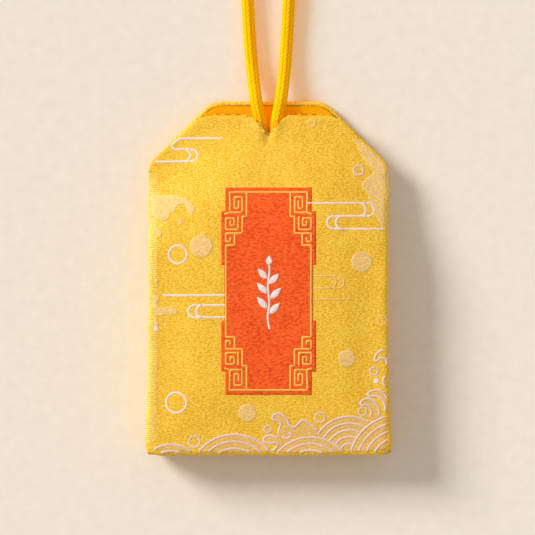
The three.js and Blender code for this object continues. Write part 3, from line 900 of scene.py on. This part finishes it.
def show(name, mesh, material, body="pouch"):
    """Links a finished mesh as a piece that moves with a body."""
    obj = bpy.data.objects.new(name, mesh)
    bpy.context.scene.collection.objects.link(obj)
    mesh.shade_smooth()
    mesh.materials.clear()
    mesh.materials.append(material)
    if body:
        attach(obj, body)
    return obj


def thicken(obj, thickness):
    wall = obj.modifiers.new("Thickness", "SOLIDIFY")
    wall.thickness = thickness
    wall.offset = -1
    wall.use_even_offset = False


class Ground:
    """Cloth that is already there, as a ground to stitch on."""

    above = 40 * MM
    between = 5 * MM

    def __init__(self, names=("front_panel", "panel_field")):
        verts = []
        faces = []
        for name in names:
            obj = bpy.data.objects.get(name)
            if obj:
                first = len(verts)
                verts += [v.co.copy() for v in obj.data.vertices]
                faces += [[first + i for i in p.vertices] for p in obj.data.polygons]
        self.tree = BVHTree.FromPolygons(verts, faces)

    def height(self, x, y):
        """Height of the cloth at a place, or of the cloth nearest to it."""
        hit = self.tree.ray_cast(Vector((x, y, self.above)), Vector((0, 0, -1)))[0]
        if hit is None:
            hit = self.tree.find_nearest(Vector((x, y, self.between)))[0]
        return hit.z

    def seat(self, place, lift):
        """The nearest place on the cloth, lifted a little off it."""
        hit, normal, _, _ = self.tree.find_nearest(Vector(place))
        return hit + normal * lift


def along_path(points):
    """How far along a path each of its points lies."""
    return np.concatenate([[0], np.cumsum(np.linalg.norm(np.diff(points, axis=0), axis=1))])


def evenly(points, step):
    """Points spaced evenly along a path."""
    points = np.array(points, float)
    along = along_path(points)
    count = max(2, int(round(along[-1] / step)) + 1)
    at = np.linspace(0, along[-1], count)
    return np.stack([np.interp(at, along, points[:, k]) for k in range(points.shape[1])], axis=1)


def curve_through(points, step, closed=False):
    """Points spaced evenly along a smooth curve through the given ones."""
    p = np.array(points, float)
    if closed:
        p = np.concatenate([p[-1:], p, p[:2]])
    else:
        p = np.concatenate([[2 * p[0] - p[1]], p, [2 * p[-1] - p[-2]]])
    t = np.linspace(0, 1, 12, endpoint=False)[:, None]
    spans = []
    for a, b, c, d in zip(p[:-3], p[1:-2], p[2:-1], p[3:], strict=True):
        bend = 2 * a - 5 * b + 4 * c - d
        twist = 3 * b - a - 3 * c + d
        spans.append(0.5 * (2 * b + (c - a) * t + bend * t**2 + twist * t**3))
    return evenly(np.concatenate(spans + [p[-2:-1]]), step)


def straight_through(points, step, corner):
    """Points along straight stretches, with each corner cut by a length, or less on a short stretch."""
    most_share = 0.4
    made = [points[0]]
    for a, b, c in zip(points, points[1:], points[2:]):
        for end in (a, c):
            share = min(corner / math.dist(b, end), most_share)
            made.append((b[0] + (end[0] - b[0]) * share, b[1] + (end[1] - b[1]) * share))
    made.append(points[-1])
    full = [np.array(made[0], float)[None]]
    for a, b in zip(made, made[1:]):
        count = max(1, int(round(math.dist(a, b) / step)))
        share = np.arange(1, count + 1)[:, None] / count
        full.append(np.array(a) + (np.array(b) - np.array(a)) * share)
    return np.concatenate(full)


def tubes(name, paths, radius, sides=1, closed=False, taper=True):
    """A mesh of round threads along paths in space, with thinner ends."""
    end_share = 0.55
    curve = bpy.data.curves.new(name, "CURVE")
    curve.dimensions = "3D"
    curve.bevel_depth = radius
    curve.bevel_resolution = sides
    curve.use_fill_caps = True
    for path in paths:
        spline = curve.splines.new("POLY")
        spline.points.add(len(path) - 1)
        spline.points.foreach_set("co", np.concatenate([path, np.ones((len(path), 1))], axis=1).ravel())
        if taper and not closed:
            spline.points[0].radius = end_share
            spline.points[-1].radius = end_share
        spline.use_cyclic_u = closed
    guide = bpy.data.objects.new(name, curve)
    mesh = bpy.data.meshes.new_from_object(guide)
    bpy.data.objects.remove(guide)
    bpy.data.curves.remove(curve)
    bm = bmesh.new()
    bm.from_mesh(mesh)
    bmesh.ops.remove_doubles(bm, verts=bm.verts, dist=0.002 * MM)
    bmesh.ops.recalc_face_normals(bm, faces=bm.faces)
    bm.to_mesh(mesh)
    bm.free()
    mesh.name = name
    return mesh


def kept_in(points):
    """Points in millimetres, of which those too near the seams are moved in to a small margin."""
    margin = 0.45 * MM
    cut = FrontSheet().cut
    x, y = np.array(points, float).T * MM
    near = cut.inset(x, y) < margin
    in_x, in_y = cut.settle(x, y, margin)
    return np.stack([np.where(near, in_x, x), np.where(near, in_y, y)], axis=1) / MM


def couched(name, paths, cloth, width, lift, finish, slot="thread", **options):
    """Shows paths in millimetres as threads on the cloth that look as wide as the given width. Each
    thread lies sunk in the cloth, so that only a low round back shows."""
    radius = 0.85 * width
    sunk = math.sqrt(radius**2 - (width / 2) ** 2)
    laid = []
    for path in paths:
        places = [(x, y, cloth.height(x, y) + lift - sunk) for x, y in kept_in(path) * MM]
        laid.append(np.array(places))
    return show(name, tubes(name, laid, radius, **options), finish)


def filled(name, outlines, cloth, lift, finish, cell=0.7, edge=0.15):
    """Shows closed outlines in millimetres as patches of stitching on the cloth, with softened edges."""
    edge_share = 0.3
    root = -0.12 * MM
    bm = bmesh.new()
    for outline in outlines:
        bm.faces.new([bm.verts.new((x * MM, y * MM, edge_share * lift)) for x, y in kept_in(outline)])
    bm.normal_update()
    for face in bm.faces:
        if face.normal.z < 0:
            face.normal_flip()
    inner = bm.faces[:]
    bmesh.ops.inset_individual(bm, faces=inner, thickness=edge * MM, use_even_offset=True)
    for vert in {v for face in inner for v in face.verts}:
        vert.co.z = lift
    for axis in range(2):
        low = min(v.co[axis] for v in bm.verts)
        high = max(v.co[axis] for v in bm.verts)
        normal = Vector((axis == 0, axis == 1, 0))
        for at in np.arange(low + cell * MM / 2, high, cell * MM):
            geometry = bm.verts[:] + bm.edges[:] + bm.faces[:]
            bmesh.ops.bisect_plane(bm, geom=geometry, dist=1e-7, plane_co=normal * at, plane_no=normal)
    under = bm.faces[:]
    bmesh.ops.extrude_face_region(bm, geom=under, use_keep_orig=True)
    for vert in {v for face in under for v in face.verts}:
        vert.co.z = root
    for vert in bm.verts:
        vert.co.z += cloth.height(vert.co.x, vert.co.y)
    bmesh.ops.recalc_face_normals(bm, faces=bm.faces)
    return show(name, mesh_of(bm, name), finish)


def circle(x, y, radius, start=0.0, end=360.0, step=12.0):
    angles = np.radians(np.arange(start, end + 0.1, step))
    return np.stack([x + radius * np.cos(angles), y + radius * np.sin(angles)], axis=1)


def hairpin(x, y, radius, hand, lead):
    """A half ring that is open to one side, with a short lead at both ends."""
    turn = circle(0, 0, radius, -90, 90)
    ends = np.array([[-lead, -radius]]), np.array([[-lead, radius]])
    return np.concatenate([ends[0], turn, ends[1]]) * (hand, 1) + (x, y)


def four_ways(paths, middle_y):
    """Paths of one corner, mirrored to all four about the middle of the panel. A path that starts or
    ends on a mirror line runs on into its image there."""
    made = []
    for path in paths:
        flipped = [(x, 2 * middle_y - y) for x, y in path]
        if path[-1][1] == middle_y:
            halves = [[*path, *reversed(flipped[:-1])]]
        else:
            halves = [path, flipped]
        for half in halves:
            image = [(-x, y) for x, y in half]
            if path[0][0] == 0:
                made.append([*reversed(image), *half[1:]])
            else:
                made += [half, image]
    return made


# Stage

LAMP_WHITE = (1.0, 0.985, 0.96)
# Part of the key light that passes through the cord
CORD_GLOW = (0.62, 0.26, 0.0)
# Lamps: energy, angular size in degrees and direction
KEY = (3.65, 22, (1.72, -1.13, -1))
FILL = (0.4, 90, (-1, 0.25, -0.6))
WORLD_LIGHT = (0.455, 0.423, 0.387)
# Width and middle of what the camera sees at the height of the front
VIEW_WIDTH = 100.9 * MM
VIEW_MIDDLE = (-0.19 * MM, 1.98 * MM, 4.2 * MM)


def let_through(lamp_name, obj):
    """Lets the light of a lamp pass through an object."""
    lamp = bpy.data.objects.get(lamp_name)
    if lamp:
        clear = bpy.data.collections.new("clear for " + lamp_name)
        clear.objects.link(obj)
        clear.collection_objects[0].light_linking.link_state = "EXCLUDE"
        lamp.light_linking.blocker_collection = clear


class CHARM_OT_stage(Operator):
    """Make the sheet under the charm, the light and the camera"""

    bl_idname = "charm.stage"
    bl_label = "Stage"

    floor_half = 1.5
    floor_drop = 0.05 * MM
    lamp_away = 0.3

    def execute(self, context):
        scene = context.scene
        scene.view_settings.view_transform = "Standard"
        self.floor(scene)
        self.lights(scene)
        self.camera(scene)
        return {"FINISHED"}

    def floor(self, scene):
        bm = bmesh.new()
        bmesh.ops.create_grid(bm, x_segments=8, y_segments=8, size=self.floor_half)
        bmesh.ops.translate(bm, verts=bm.verts, vec=(0, 0, -self.floor_drop))
        mesh = mesh_of(bm, "floor")
        mesh.materials.append(floor_finish())
        floor = bpy.data.objects.new("floor", mesh)
        scene.collection.objects.link(floor)

    def lights(self, scene):
        held_back = tuple(white - glow for white, glow in zip(LAMP_WHITE, CORD_GLOW, strict=True))
        self.sun(scene, "key", *KEY, held_back)
        self.sun(scene, "key_through_cord", *KEY, CORD_GLOW)
        self.sun(scene, "fill", *FILL, LAMP_WHITE)
        world = bpy.data.worlds.new("studio")
        scene.world = world
        world.use_nodes = True
        tree = world.node_tree
        back = tree.nodes["Background"]
        rays = put(tree, "ShaderNodeLightPath").outputs
        seen = combine(tree, "MAXIMUM", rays["Is Camera Ray"], rays["Is Glossy Ray"])
        seen = combine(tree, "MAXIMUM", seen, rays["Is Transmission Ray"])
        shown = blend_colours(tree, seen, WORLD_LIGHT, colours().floor)
        tree.links.new(shown, back.inputs["Color"])
        back.inputs["Strength"].default_value = 1.0

    def sun(self, scene, name, energy, angle, direction, shade):
        light = bpy.data.lights.new(name, "SUN")
        light.energy = energy
        light.angle = math.radians(angle)
        light.color = shade
        lamp = bpy.data.objects.new(name, light)
        lamp.rotation_mode = "QUATERNION"
        lamp.rotation_quaternion = Vector(direction).to_track_quat("-Z", "Y")
        lamp.location = -self.lamp_away * Vector(direction)
        scene.collection.objects.link(lamp)

    def camera(self, scene):
        data = bpy.data.cameras.new("camera")
        data.lens = 300
        data.sensor_width = 36
        data.clip_start = 0.05
        camera = bpy.data.objects.new("camera", data)
        x, y, z = VIEW_MIDDLE
        camera.location = (x, y, z + VIEW_WIDTH * data.lens / data.sensor_width)
        scene.collection.objects.link(camera)
        scene.camera = camera


# Pieces

def cord_path(step):
    """The whole route of the cord in metres, from one sewn end round to the other."""
    other = [(-x, y, z) for x, y, z in reversed(TAIL_ROUTE)]
    return curve_through([*TAIL_ROUTE, *LOOP_ROUTE, *other], step) * MM


class CHARM_OT_hanging_cord(Operator):
    """Braid the hanging cord along its route"""

    bl_idname = "charm.hanging_cord"
    bl_label = "Hanging cord"

    # Columns of plaits, points round the cord, millimetres between rings of points, and the depth of
    # the grooves as a share of the radius
    columns = 8
    around = 48
    step = 0.105
    groove = 0.12

    def execute(self, context):
        s = sizes()
        path = cord_path(self.step)
        ahead = np.gradient(path, axis=0)
        ahead /= np.linalg.norm(ahead, axis=1)[:, None]
        side = np.cross(ahead, (0, 0, 1))
        side /= np.linalg.norm(side, axis=1)[:, None]
        up = np.cross(side, ahead)
        along = along_path(path)
        bm = bmesh.new()
        bmesh.ops.create_grid(bm, x_segments=self.around, y_segments=len(path) - 1, size=1)
        bm.verts.index_update()
        grid = np.array([v.co[:2] for v in bm.verts])
        turn = (grid[:, 0] + 1) / 2
        row = np.rint((grid[:, 1] + 1) / 2 * (len(path) - 1)).astype(int)
        crest = self.plaits(turn, along[row], s.plait)
        radius = s.cord / 2 * (1 - self.groove + self.groove * crest)
        angle = turn * 2 * math.pi
        places = path[row] + radius[:, None] * (
            side[row] * np.cos(angle)[:, None] + up[row] * np.sin(angle)[:, None]
        )
        layer = bm.loops.layers.uv.new(BRAID_UV)
        girth = math.pi * s.cord / MM
        for face in bm.faces:
            for loop in face.loops:
                i = loop.vert.index
                loop[layer].uv = (turn[i] * girth, along[row[i]] / MM)
        mark = bm.verts.layers.float.new(CREST)
        for i, vert in enumerate(bm.verts):
            vert.co = places[i]
            vert[mark] = crest[i]
        bmesh.ops.remove_doubles(bm, verts=bm.verts, dist=0.001 * MM)
        bmesh.ops.holes_fill(bm, edges=[e for e in bm.edges if e.is_boundary])
        bmesh.ops.recalc_face_normals(bm, faces=bm.faces)
        mesh = mesh_of(bm, "braided_cord")
        cord = show("braided_cord", mesh, cord_finish(), body=None)
        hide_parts("hanging_cord", "cord_tail_left", "cord_tail_right")
        let_through("key_through_cord", cord)
        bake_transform(cord)
        return {"FINISHED"}

    def plaits(self, turn, along, plait):
        """Height of the braid's surface, from 0 in a groove to 1 on a plait."""
        steepness = 2.5
        place = turn * self.columns + 0.5
        column = np.floor(place)
        across = 2 * (place - column) - 1
        odd = column % 2
        beat = along / plait + (1 - 2 * odd) * across * 0.5 + 0.5 * odd
        beat = 2 * (beat - np.floor(beat)) - 1
        return np.sqrt(np.clip((1 - np.abs(across) ** steepness) * (1 - beat**2), 0, 1))


def clear_of_cord(mesh, gap):
    """Lifts cloth that the cord would run through, so that it lies over the cord."""
    step = 0.2
    mouth = 29 * MM
    near_x = 3 * MM
    above_y = 15 * MM
    path = cord_path(step)
    path = path[path[:, 1] < mouth]
    reach = sizes().cord / 2 + gap
    for vert in mesh.vertices:
        if abs(vert.co.x) < near_x and vert.co.y > above_y:
            away = np.array(vert.co) - path
            x, y, z = away[int(np.linalg.norm(away, axis=1).argmin())]
            flat = math.hypot(x, y)
            if flat < reach:
                vert.co.z += max(0.0, math.sqrt(reach**2 - flat**2) - z)
    mesh.update()


class CHARM_OT_front_panel(Operator):
    """Sew and pad the front panel"""

    bl_idname = "charm.front_panel"
    bl_label = "Front panel"

    pressure = 4.0
    most_swelling = 0.35 * MM
    gathers = 0.16 * MM
    cord_gap = 0.7 * MM

    def execute(self, context):
        sheet = FrontSheet()
        mesh, run = sewn_sheet("front_panel", sheet, 144, 150, 0.6)
        held = run < sheet.turn + 0.5 * sheet.arc
        top = sheet.turn + sheet.arc
        share = soft_step(run, top - 2 * MM, top + 5 * MM)
        swell(mesh, held, share, self.pressure, self.most_swelling)
        pucker(mesh, run, self.gathers)
        clear_of_cord(mesh, self.cord_gap)
        panel = show("front_panel", mesh, brocade_finish())
        thicken(panel, sizes().cloth)
        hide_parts("front_brocade")
        return {"FINISHED"}


class CHARM_OT_back_panel(Operator):
    """Sew the back panel with the rolled hem of its mouth"""

    bl_idname = "charm.back_panel"
    bl_label = "Back panel"

    gathers = 0.08 * MM

    def execute(self, context):
        s = sizes()
        sheet = BackSheet()
        mesh, run = sewn_sheet("back_panel", sheet, 100, 150)
        pucker(mesh, run, self.gathers)
        for vert in mesh.vertices:
            vert.co.z = max(vert.co.z, 0.0)
        panel = show("back_panel", mesh, brocade_finish())
        thicken(panel, s.cloth)
        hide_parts("back_brocade")
        return {"FINISHED"}


class CHARM_OT_linings(Operator):
    """Make the two linings that show in the mouth"""

    bl_idname = "charm.linings"
    bl_label = "Linings"

    # The front lining: its height, its falls towards the mouth and the slants, and its edge
    front_height = 5.5 * MM
    front_falls = (0.6 * MM, 1.6 * MM)
    front_roll = 0.4 * MM
    cord_gap = 0.3 * MM

    def execute(self, context):
        back = BackLining()
        mesh, _ = sewn_sheet("back_lining_cloth", back, 60, 90)
        self.declare(mesh, "back_lining_cloth", "back_lining", back)
        front = FrontSheet(LINING_INSET, self.front_height, self.front_falls, self.front_roll, 0.0)
        mesh, _ = sewn_sheet("front_lining_cloth", front, 84, 90, 0.6)
        clear_of_cord(mesh, self.cord_gap)
        self.declare(mesh, "front_lining_cloth", "front_lining", front)
        return {"FINISHED"}

    def declare(self, mesh, name, node, sheet):
        s = sizes()
        cloth = show(name, mesh, lining_finish())
        thicken(cloth, s.lining)
        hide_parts(node)


class CHARM_OT_lip_hem(Operator):
    """Turn the hem along the front lip, with its dark stitches, darkened partly by painted shade"""

    bl_idname = "charm.lip_hem"
    bl_label = "Lip hem"

    # Half length of the hem, half width of the gap for the cord, and cloth between the hem and the edge
    reach = 10.4 * MM
    cord_half = 3.5 * MM
    turned_in = 1.1 * MM
    # Where the hem and its stitches lie from the lip, and the radius of both
    hem_at = (0, 0.12 * MM, -0.1 * MM)
    hem_radius = 0.22 * MM
    stitches_at = (0, 0.33 * MM, -0.02 * MM)
    stitch_radius = 0.1 * MM

    def execute(self, context):
        c = colours()
        sheet = FrontSheet()
        x = np.linspace(-self.reach, self.reach, 120)
        y = np.full_like(x, sheet.cut.top + sheet.margin - self.turned_in)
        edge = sheet.place(x, y)
        halves = [edge[edge[:, 0] < -self.cord_half], edge[edge[:, 0] > self.cord_half]]
        fold = [evenly(half + self.hem_at, 0.3 * MM) for half in halves]
        mesh = tubes("lip_hem", fold, self.hem_radius, sides=2)
        show("lip_hem", mesh, thread_finish("hem cloth", c.lining))
        # The stitches' dark colour is partly painted shade along the hem
        mesh = tubes("lip_stitches", self.dashes(halves), self.stitch_radius)
        show("lip_stitches", mesh, thread_finish("hem thread", c.hem))
        return {"FINISHED"}

    def dashes(self, halves):
        """Uneven stitches along the far side of the hem, counted in tenths of a millimetre."""
        made = []
        for half in halves:
            fine = evenly(half + self.stitches_at, 0.1 * MM)
            start = 4
            while start + 16 < len(fine):
                long = 9 + len(made) * 5 % 8
                made.append(fine[start : start + long])
                start += long + 5 + len(made) * 3 % 4
        return made


class CHARM_OT_inner_pieces(Operator):
    """Dress the wadding, the bar tack, the card, the wrapper and the slip"""

    bl_idname = "charm.inner_pieces"
    bl_label = "Inner pieces"

    # The wadding: size and depth of its lumps
    lump_size = 1.6 * MM
    lump_depth = 0.06 * MM
    # The tack: number, radius and bend of its stitches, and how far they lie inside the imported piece
    tack_count = 5
    tack_radius = 0.16 * MM
    tack_bend = 0.5 * MM
    tack_side = 0.2 * MM
    tack_foot = 0.22 * MM

    def execute(self, context):
        self.wadding()
        self.tack()
        c = colours()
        for node, name, value, streaks, stretch in (
            ("stiffener_card", "pasteboard", c.card, 2.0, (1, 1, 1)),
            ("slip_wrapper", "wrapper paper", c.paper, 1.2, (1, 0.4, 1)),
            ("amulet_slip", "planed wood", c.wood, 1.6, (1, 0.06, 1)),
        ):
            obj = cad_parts[node]
            obj.data.materials.clear()
            obj.data.materials.append(thread_finish(name, value, streaks, stretch))
        return {"FINISHED"}

    def wadding(self):
        sheet = FrontSheet()
        bm = bmesh.new()
        bm.from_mesh(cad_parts["front_wadding"].data)
        bmesh.ops.remove_doubles(bm, verts=bm.verts, dist=0.01 * MM)
        bmesh.ops.subdivide_edges(bm, edges=bm.edges, cuts=1, use_grid_fill=True)
        axes = {"use_axis_x": True, "use_axis_y": True, "use_axis_z": True}
        bmesh.ops.smooth_vert(bm, verts=bm.verts, factor=0.4, **axes)
        bm.normal_update()
        for vert in bm.verts:
            lump = noise.noise(vert.co / self.lump_size)
            vert.co -= vert.normal * (self.lump_depth * (1 + lump))
            vert.co.z -= float(sheet.near_slant(vert.co.x, vert.co.y)) * sizes().slant_fall
        fleece = thread_finish("wadding fleece", colours().wadding, 3.0)
        pad = show("wadding_pad", mesh_of(bm, "wadding_pad"), fleece)
        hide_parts("front_wadding")

    def tack(self):
        low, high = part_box("cord_bar_tack")
        half = high.x - self.tack_side
        base = low.z + self.tack_foot
        bend = self.tack_bend
        loops = []
        for share in np.linspace(0.12, 0.88, self.tack_count):
            y = low.y + (high.y - low.y) * share
            corners = [(-half, y, high.z), (-half, y, base + bend), (-half + bend, y, base)]
            mirrored = [(-a, b, c) for a, b, c in reversed(corners)]
            loops.append(evenly([*corners, *mirrored], 0.4 * MM))
        mesh = tubes("tack_stitches", loops, self.tack_radius)
        tack = show("tack_stitches", mesh, thread_finish("tack thread", colours().seam))
        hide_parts("cord_bar_tack")


class CHARM_OT_seam_stitches(Operator):
    """Whip the sides and the bottom together with small stitches"""

    bl_idname = "charm.seam_stitches"
    bl_label = "Seam stitches"

    # Points of a stitch, as millimetres of cloth from the edge of the front and of the back
    # The pale stitches reach further onto the front on the left, where light falls on the edge, than on the
    # right: partly a painted highlight along the lit side
    left_runs = (5.9, 5.5, 5.1, 4.7, 4.3, 3.8, 2.6, 1.6, 0.8, 0.2)
    right_runs = (4.3, 3.8, 2.6, 1.6, 0.8, 0.2)
    foot_runs = (4.1, 3.6, 2.6, 1.6, 0.8, 0.2)
    back_runs = (0.2, 0.9, 1.5, 2.1)
    # Lowest and highest stitch of the sides, the last stitches of the bottom, and the slant, the
    # depth in the cloth and the radius of a stitch
    side_from = -30.6 * MM
    side_to = 19.4 * MM
    foot_half = 20.4 * MM
    slant = 0.12 * MM
    sunk = 0.02 * MM
    radius = 0.075 * MM

    def execute(self, context):
        gap = sizes().stitch_gap
        front = FrontSheet()
        back = BackSheet()
        stitches = []
        y = np.arange(self.side_from, self.side_to, gap)
        for hand, runs in ((-1, self.left_runs), (1, self.right_runs)):
            rows = [front.place(*front.at_run(y, run * MM, hand)) for run in runs]
            rows += [back.place(*back.at_run(y + self.slant, run * MM, hand)) for run in self.back_runs]
            stitches += list(np.stack(rows, axis=1))
        x = np.arange(-self.foot_half, self.foot_half, gap)
        foot = [front.cut.bottom - front.margin + run * MM for run in self.foot_runs]
        heel = [back.cut.bottom - back.margin + run * MM for run in self.back_runs]
        rows = [front.place(x, np.full_like(x, at)) for at in foot]
        rows += [back.place(x + self.slant, np.full_like(x, at)) for at in heel]
        stitches += list(np.stack(rows, axis=1))
        cloth = Ground(("front_panel", "back_panel"))
        stitches = [np.array([cloth.seat(place, -self.sunk) for place in stitch]) for stitch in stitches]
        mesh = tubes("seam_stitches", stitches, self.radius, sides=0)
        seam = show("seam_stitches", mesh, thread_finish("seam thread", colours().seam))
        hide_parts("side_seam_thread")
        return {"FINISHED"}


class CHARM_OT_panel(Operator):
    """Embroider the stepped panel, its key frets and the sprig on it"""

    bl_idname = "charm.panel"
    bl_label = "Stitched panel"

    middle_y = -2.45
    # The sprig, in millimetres: its stem, and the foot, lean in degrees and length of each leaf
    stem = ((0.25, -9.8), (-0.15, -7.4), (0.15, -4.6), (-0.1, -1.6), (0.2, 1.4), (0.1, 2.6))
    leaves = (
        (0.0, -7.0, 48, 2.9), (0.05, -6.0, 132, 3.0), (0.1, -4.2, 46, 3.0), (0.05, -3.2, 134, 2.9),
        (-0.05, -1.4, 48, 2.7), (0.0, -0.4, 133, 2.6), (0.1, 2.0, 88, 1.9),
    )
    leaf_half = 0.62
    leaf_stalk = 0.35

    def execute(self, context):
        s = sizes()
        outline = [*PANEL_SIDE, *[(-x, y) for x, y in reversed(PANEL_SIDE)]]
        panel = filled(
            "panel_field", [outline], Ground(), s.panel_lift, panel_finish(), 0.8, 0.16
        )
        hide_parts("cartouche")
        raised = Ground()
        frets = [straight_through(path, 0.3, 0.09) for path in four_ways(FRET_CORNER, self.middle_y)]
        gold = thread_finish("gold thread", colours().gold)
        couched("fret_lines", frets, raised, s.fret_width, 0.03 * MM, gold, "embroidery", taper=False)
        pale = thread_finish("pale thread", colours().pale)
        stem = curve_through(self.stem, 0.3)
        couched("sprig_stem", [stem], raised, 0.4 * MM, 0.02 * MM, pale)
        leaves = [self.leaf(x, y, math.radians(lean), long) for x, y, lean, long in self.leaves]
        filled("sprig_leaves", leaves, raised, 0.14 * MM, pale, cell=0.6, edge=0.12)
        return {"FINISHED"}

    def leaf(self, x, y, lean, long):
        """Outline of a leaf that is broadest a little below its middle."""
        share = np.linspace(0, 1, 9)
        wide = self.leaf_half * np.sin(np.pi * share**0.8)
        out = self.leaf_stalk + share * long
        points = [*zip(out, wide), *zip(out[-2:0:-1], -wide[-2:0:-1])]
        c, n = math.cos(lean), math.sin(lean)
        return [(x + a * c - b * n, y + a * n + b * c) for a, b in points]


class CHARM_OT_clouds(Operator):
    """Stitch the drifting clouds"""

    bl_idname = "charm.clouds"
    bl_label = "Clouds"

    lead = 0.7
    peach_share = 0.9

    def execute(self, context):
        c = colours()
        width = sizes().line_width
        cloth = Ground()
        pale = thread_finish("pale thread", c.pale)
        couched("pale_clouds", self.lines(CLOUD_BARS, CLOUD_TURNS), cloth, width, 0.0, pale)
        peach = thread_finish("peach thread", c.peach)
        width *= self.peach_share
        couched("peach_cloud", self.lines(PEACH_BARS, PEACH_TURNS), cloth, width, 0.0, peach)
        return {"FINISHED"}

    def lines(self, bars, turns):
        made = [straight_through(path, 0.3, 0.25) for path in bars]
        return made + [hairpin(x, y, radius, hand, self.lead) for x, y, radius, hand in turns]


class CHARM_OT_bubbles(Operator):
    """Stitch the rings, the round dots and the drops"""

    bl_idname = "charm.bubbles"
    bl_label = "Bubbles"

    dot_lift = 0.04 * MM
    drop_lift = 0.05 * MM
    unevenness = 0.02

    def execute(self, context):
        c = colours()
        cloth = Ground()
        pale = thread_finish("pale thread", c.pale)
        for name, rows, width, finish in (
            ("bubble_rings", RINGS, 0.42 * MM, pale),
            ("small_rings", SMALL_RINGS, 0.38 * MM, thread_finish("wave thread", c.wave)),
            ("faint_rings", FAINT_RINGS, 0.36 * MM, thread_finish("peach thread", c.peach)),
        ):
            rings = [circle(x, y, radius, 0, 350, 14) for x, y, radius in rows]
            couched(name, rings, cloth, width, 0.0, finish, closed=True)
        dots = [self.dot(number, *row) for number, row in enumerate(DOTS)]
        filled("bubble_dots", dots, cloth, self.dot_lift, patch_finish("cream stitching", c.cream))
        drops = [circle(x, y, radius, 0, 340, 20) for x, y, radius in DROPS]
        filled("spray_drops", drops, cloth, self.drop_lift, pale)
        return {"FINISHED"}

    def dot(self, number, x, y, radius):
        """A round dot with a slightly uneven rim, different for each number."""
        rim = circle(0, 0, 1, 0, 350, 10)
        swing = np.arctan2(rim[:, 1], rim[:, 0])
        waves = self.unevenness * np.sin(5 * swing + number), self.unevenness * np.sin(11 * swing)
        return rim * (radius * (1 + waves[0] + waves[1]))[:, None] + (x, y)


class CHARM_OT_waves(Operator):
    """Stitch the waves, the foam and the bank of cloud"""

    bl_idname = "charm.waves"
    bl_label = "Waves"

    foam_lift = 0.025 * MM
    bank_lift = 0.015 * MM
    line_width = 0.44 * MM
    edge_margin = 0.5 * MM

    def execute(self, context):
        c = colours()
        cloth = Ground()
        cream = patch_finish("cream stitching", c.cream)
        for name, outlines, lift in (
            ("foam", FOAM, self.foam_lift),
            ("cloud_bank", (BANK,), self.bank_lift),
        ):
            smooth = [curve_through(path, 0.4, closed=True)[:-1] for path in outlines]
            filled(name, smooth, cloth, lift, cream)
        for name, waves, crests, lift in (
            ("far_wave", FAR_WAVES, CRESTS, 0.03 * MM),
            ("waves", WAVES, (), 0.055 * MM),
            ("near_wave", NEAR_WAVES, (), 0.08 * MM),
        ):
            lines = [curve_through(line, 0.35) for line, _ in crests]
            bodies = [[*curve, *ends] for curve, (_, ends) in zip(lines, crests, strict=True) if ends]
            for x, y, outer, gap, count, first, last, ends in waves:
                rings = [self.ring(x, y, outer - gap * i, first, last) for i in range(count)]
                bodies.append([*rings[0], *ends])
                lines += [ring for ring in rings if len(ring) > 2]
            filled(name + "_body", bodies, cloth, lift, patch_finish("wave stitching", c.wave_fill))
            thread = thread_finish("wave thread", c.wave)
            couched(name + "_lines", lines, cloth, self.line_width, lift, thread)
        return {"FINISHED"}

    def ring(self, x, y, radius, first, last):
        """The part of a ring that lies on the front, over the foot of the waves."""
        ring = circle(x, y, radius, first, last, 3)
        inside = FrontSheet().cut.inset(ring[:, 0] * MM, ring[:, 1] * MM) > self.edge_margin
        return ring[inside & (ring[:, 1] > WAVE_FOOT)]


class CHARM_PT_charm(Panel):
    """Sizes, colours and steps of the charm"""

    bl_label = "Charm"
    bl_idname = "CHARM_PT_charm"
    bl_space_type = "VIEW_3D"
    bl_region_type = "UI"
    bl_category = "Charm"

    def draw(self, context):
        layout = self.layout
        for step in STEPS:
            layout.operator(step.bl_idname)
        for group in (context.scene.charm_sizes, context.scene.charm_colours):
            box = layout.box()
            for name in group.__annotations__:
                box.prop(group, name)


STEPS = (
    CHARM_OT_stage,
    CHARM_OT_hanging_cord,
    CHARM_OT_front_panel,
    CHARM_OT_back_panel,
    CHARM_OT_linings,
    CHARM_OT_lip_hem,
    CHARM_OT_inner_pieces,
    CHARM_OT_seam_stitches,
    CHARM_OT_panel,
    CHARM_OT_clouds,
    CHARM_OT_bubbles,
    CHARM_OT_waves,
)
CLASSES = (CharmSizes, CharmColours, *STEPS, CHARM_PT_charm)


def register():
    for cls in CLASSES:
        bpy.utils.register_class(cls)
    bpy.types.Scene.charm_sizes = PointerProperty(type=CharmSizes)
    bpy.types.Scene.charm_colours = PointerProperty(type=CharmColours)


def unregister():
    del bpy.types.Scene.charm_colours
    del bpy.types.Scene.charm_sizes
    for cls in reversed(CLASSES):
        bpy.utils.unregister_class(cls)


def main():
    register()
    bpy.ops.charm.stage()
    bpy.ops.charm.hanging_cord()
    bpy.ops.charm.front_panel()
    bpy.ops.charm.back_panel()
    bpy.ops.charm.linings()
    bpy.ops.charm.lip_hem()
    bpy.ops.charm.inner_pieces()
    bpy.ops.charm.seam_stitches()
    bpy.ops.charm.panel()
    bpy.ops.charm.clouds()
    bpy.ops.charm.bubbles()
    bpy.ops.charm.waves()


if __name__ == "__main__":
    main()
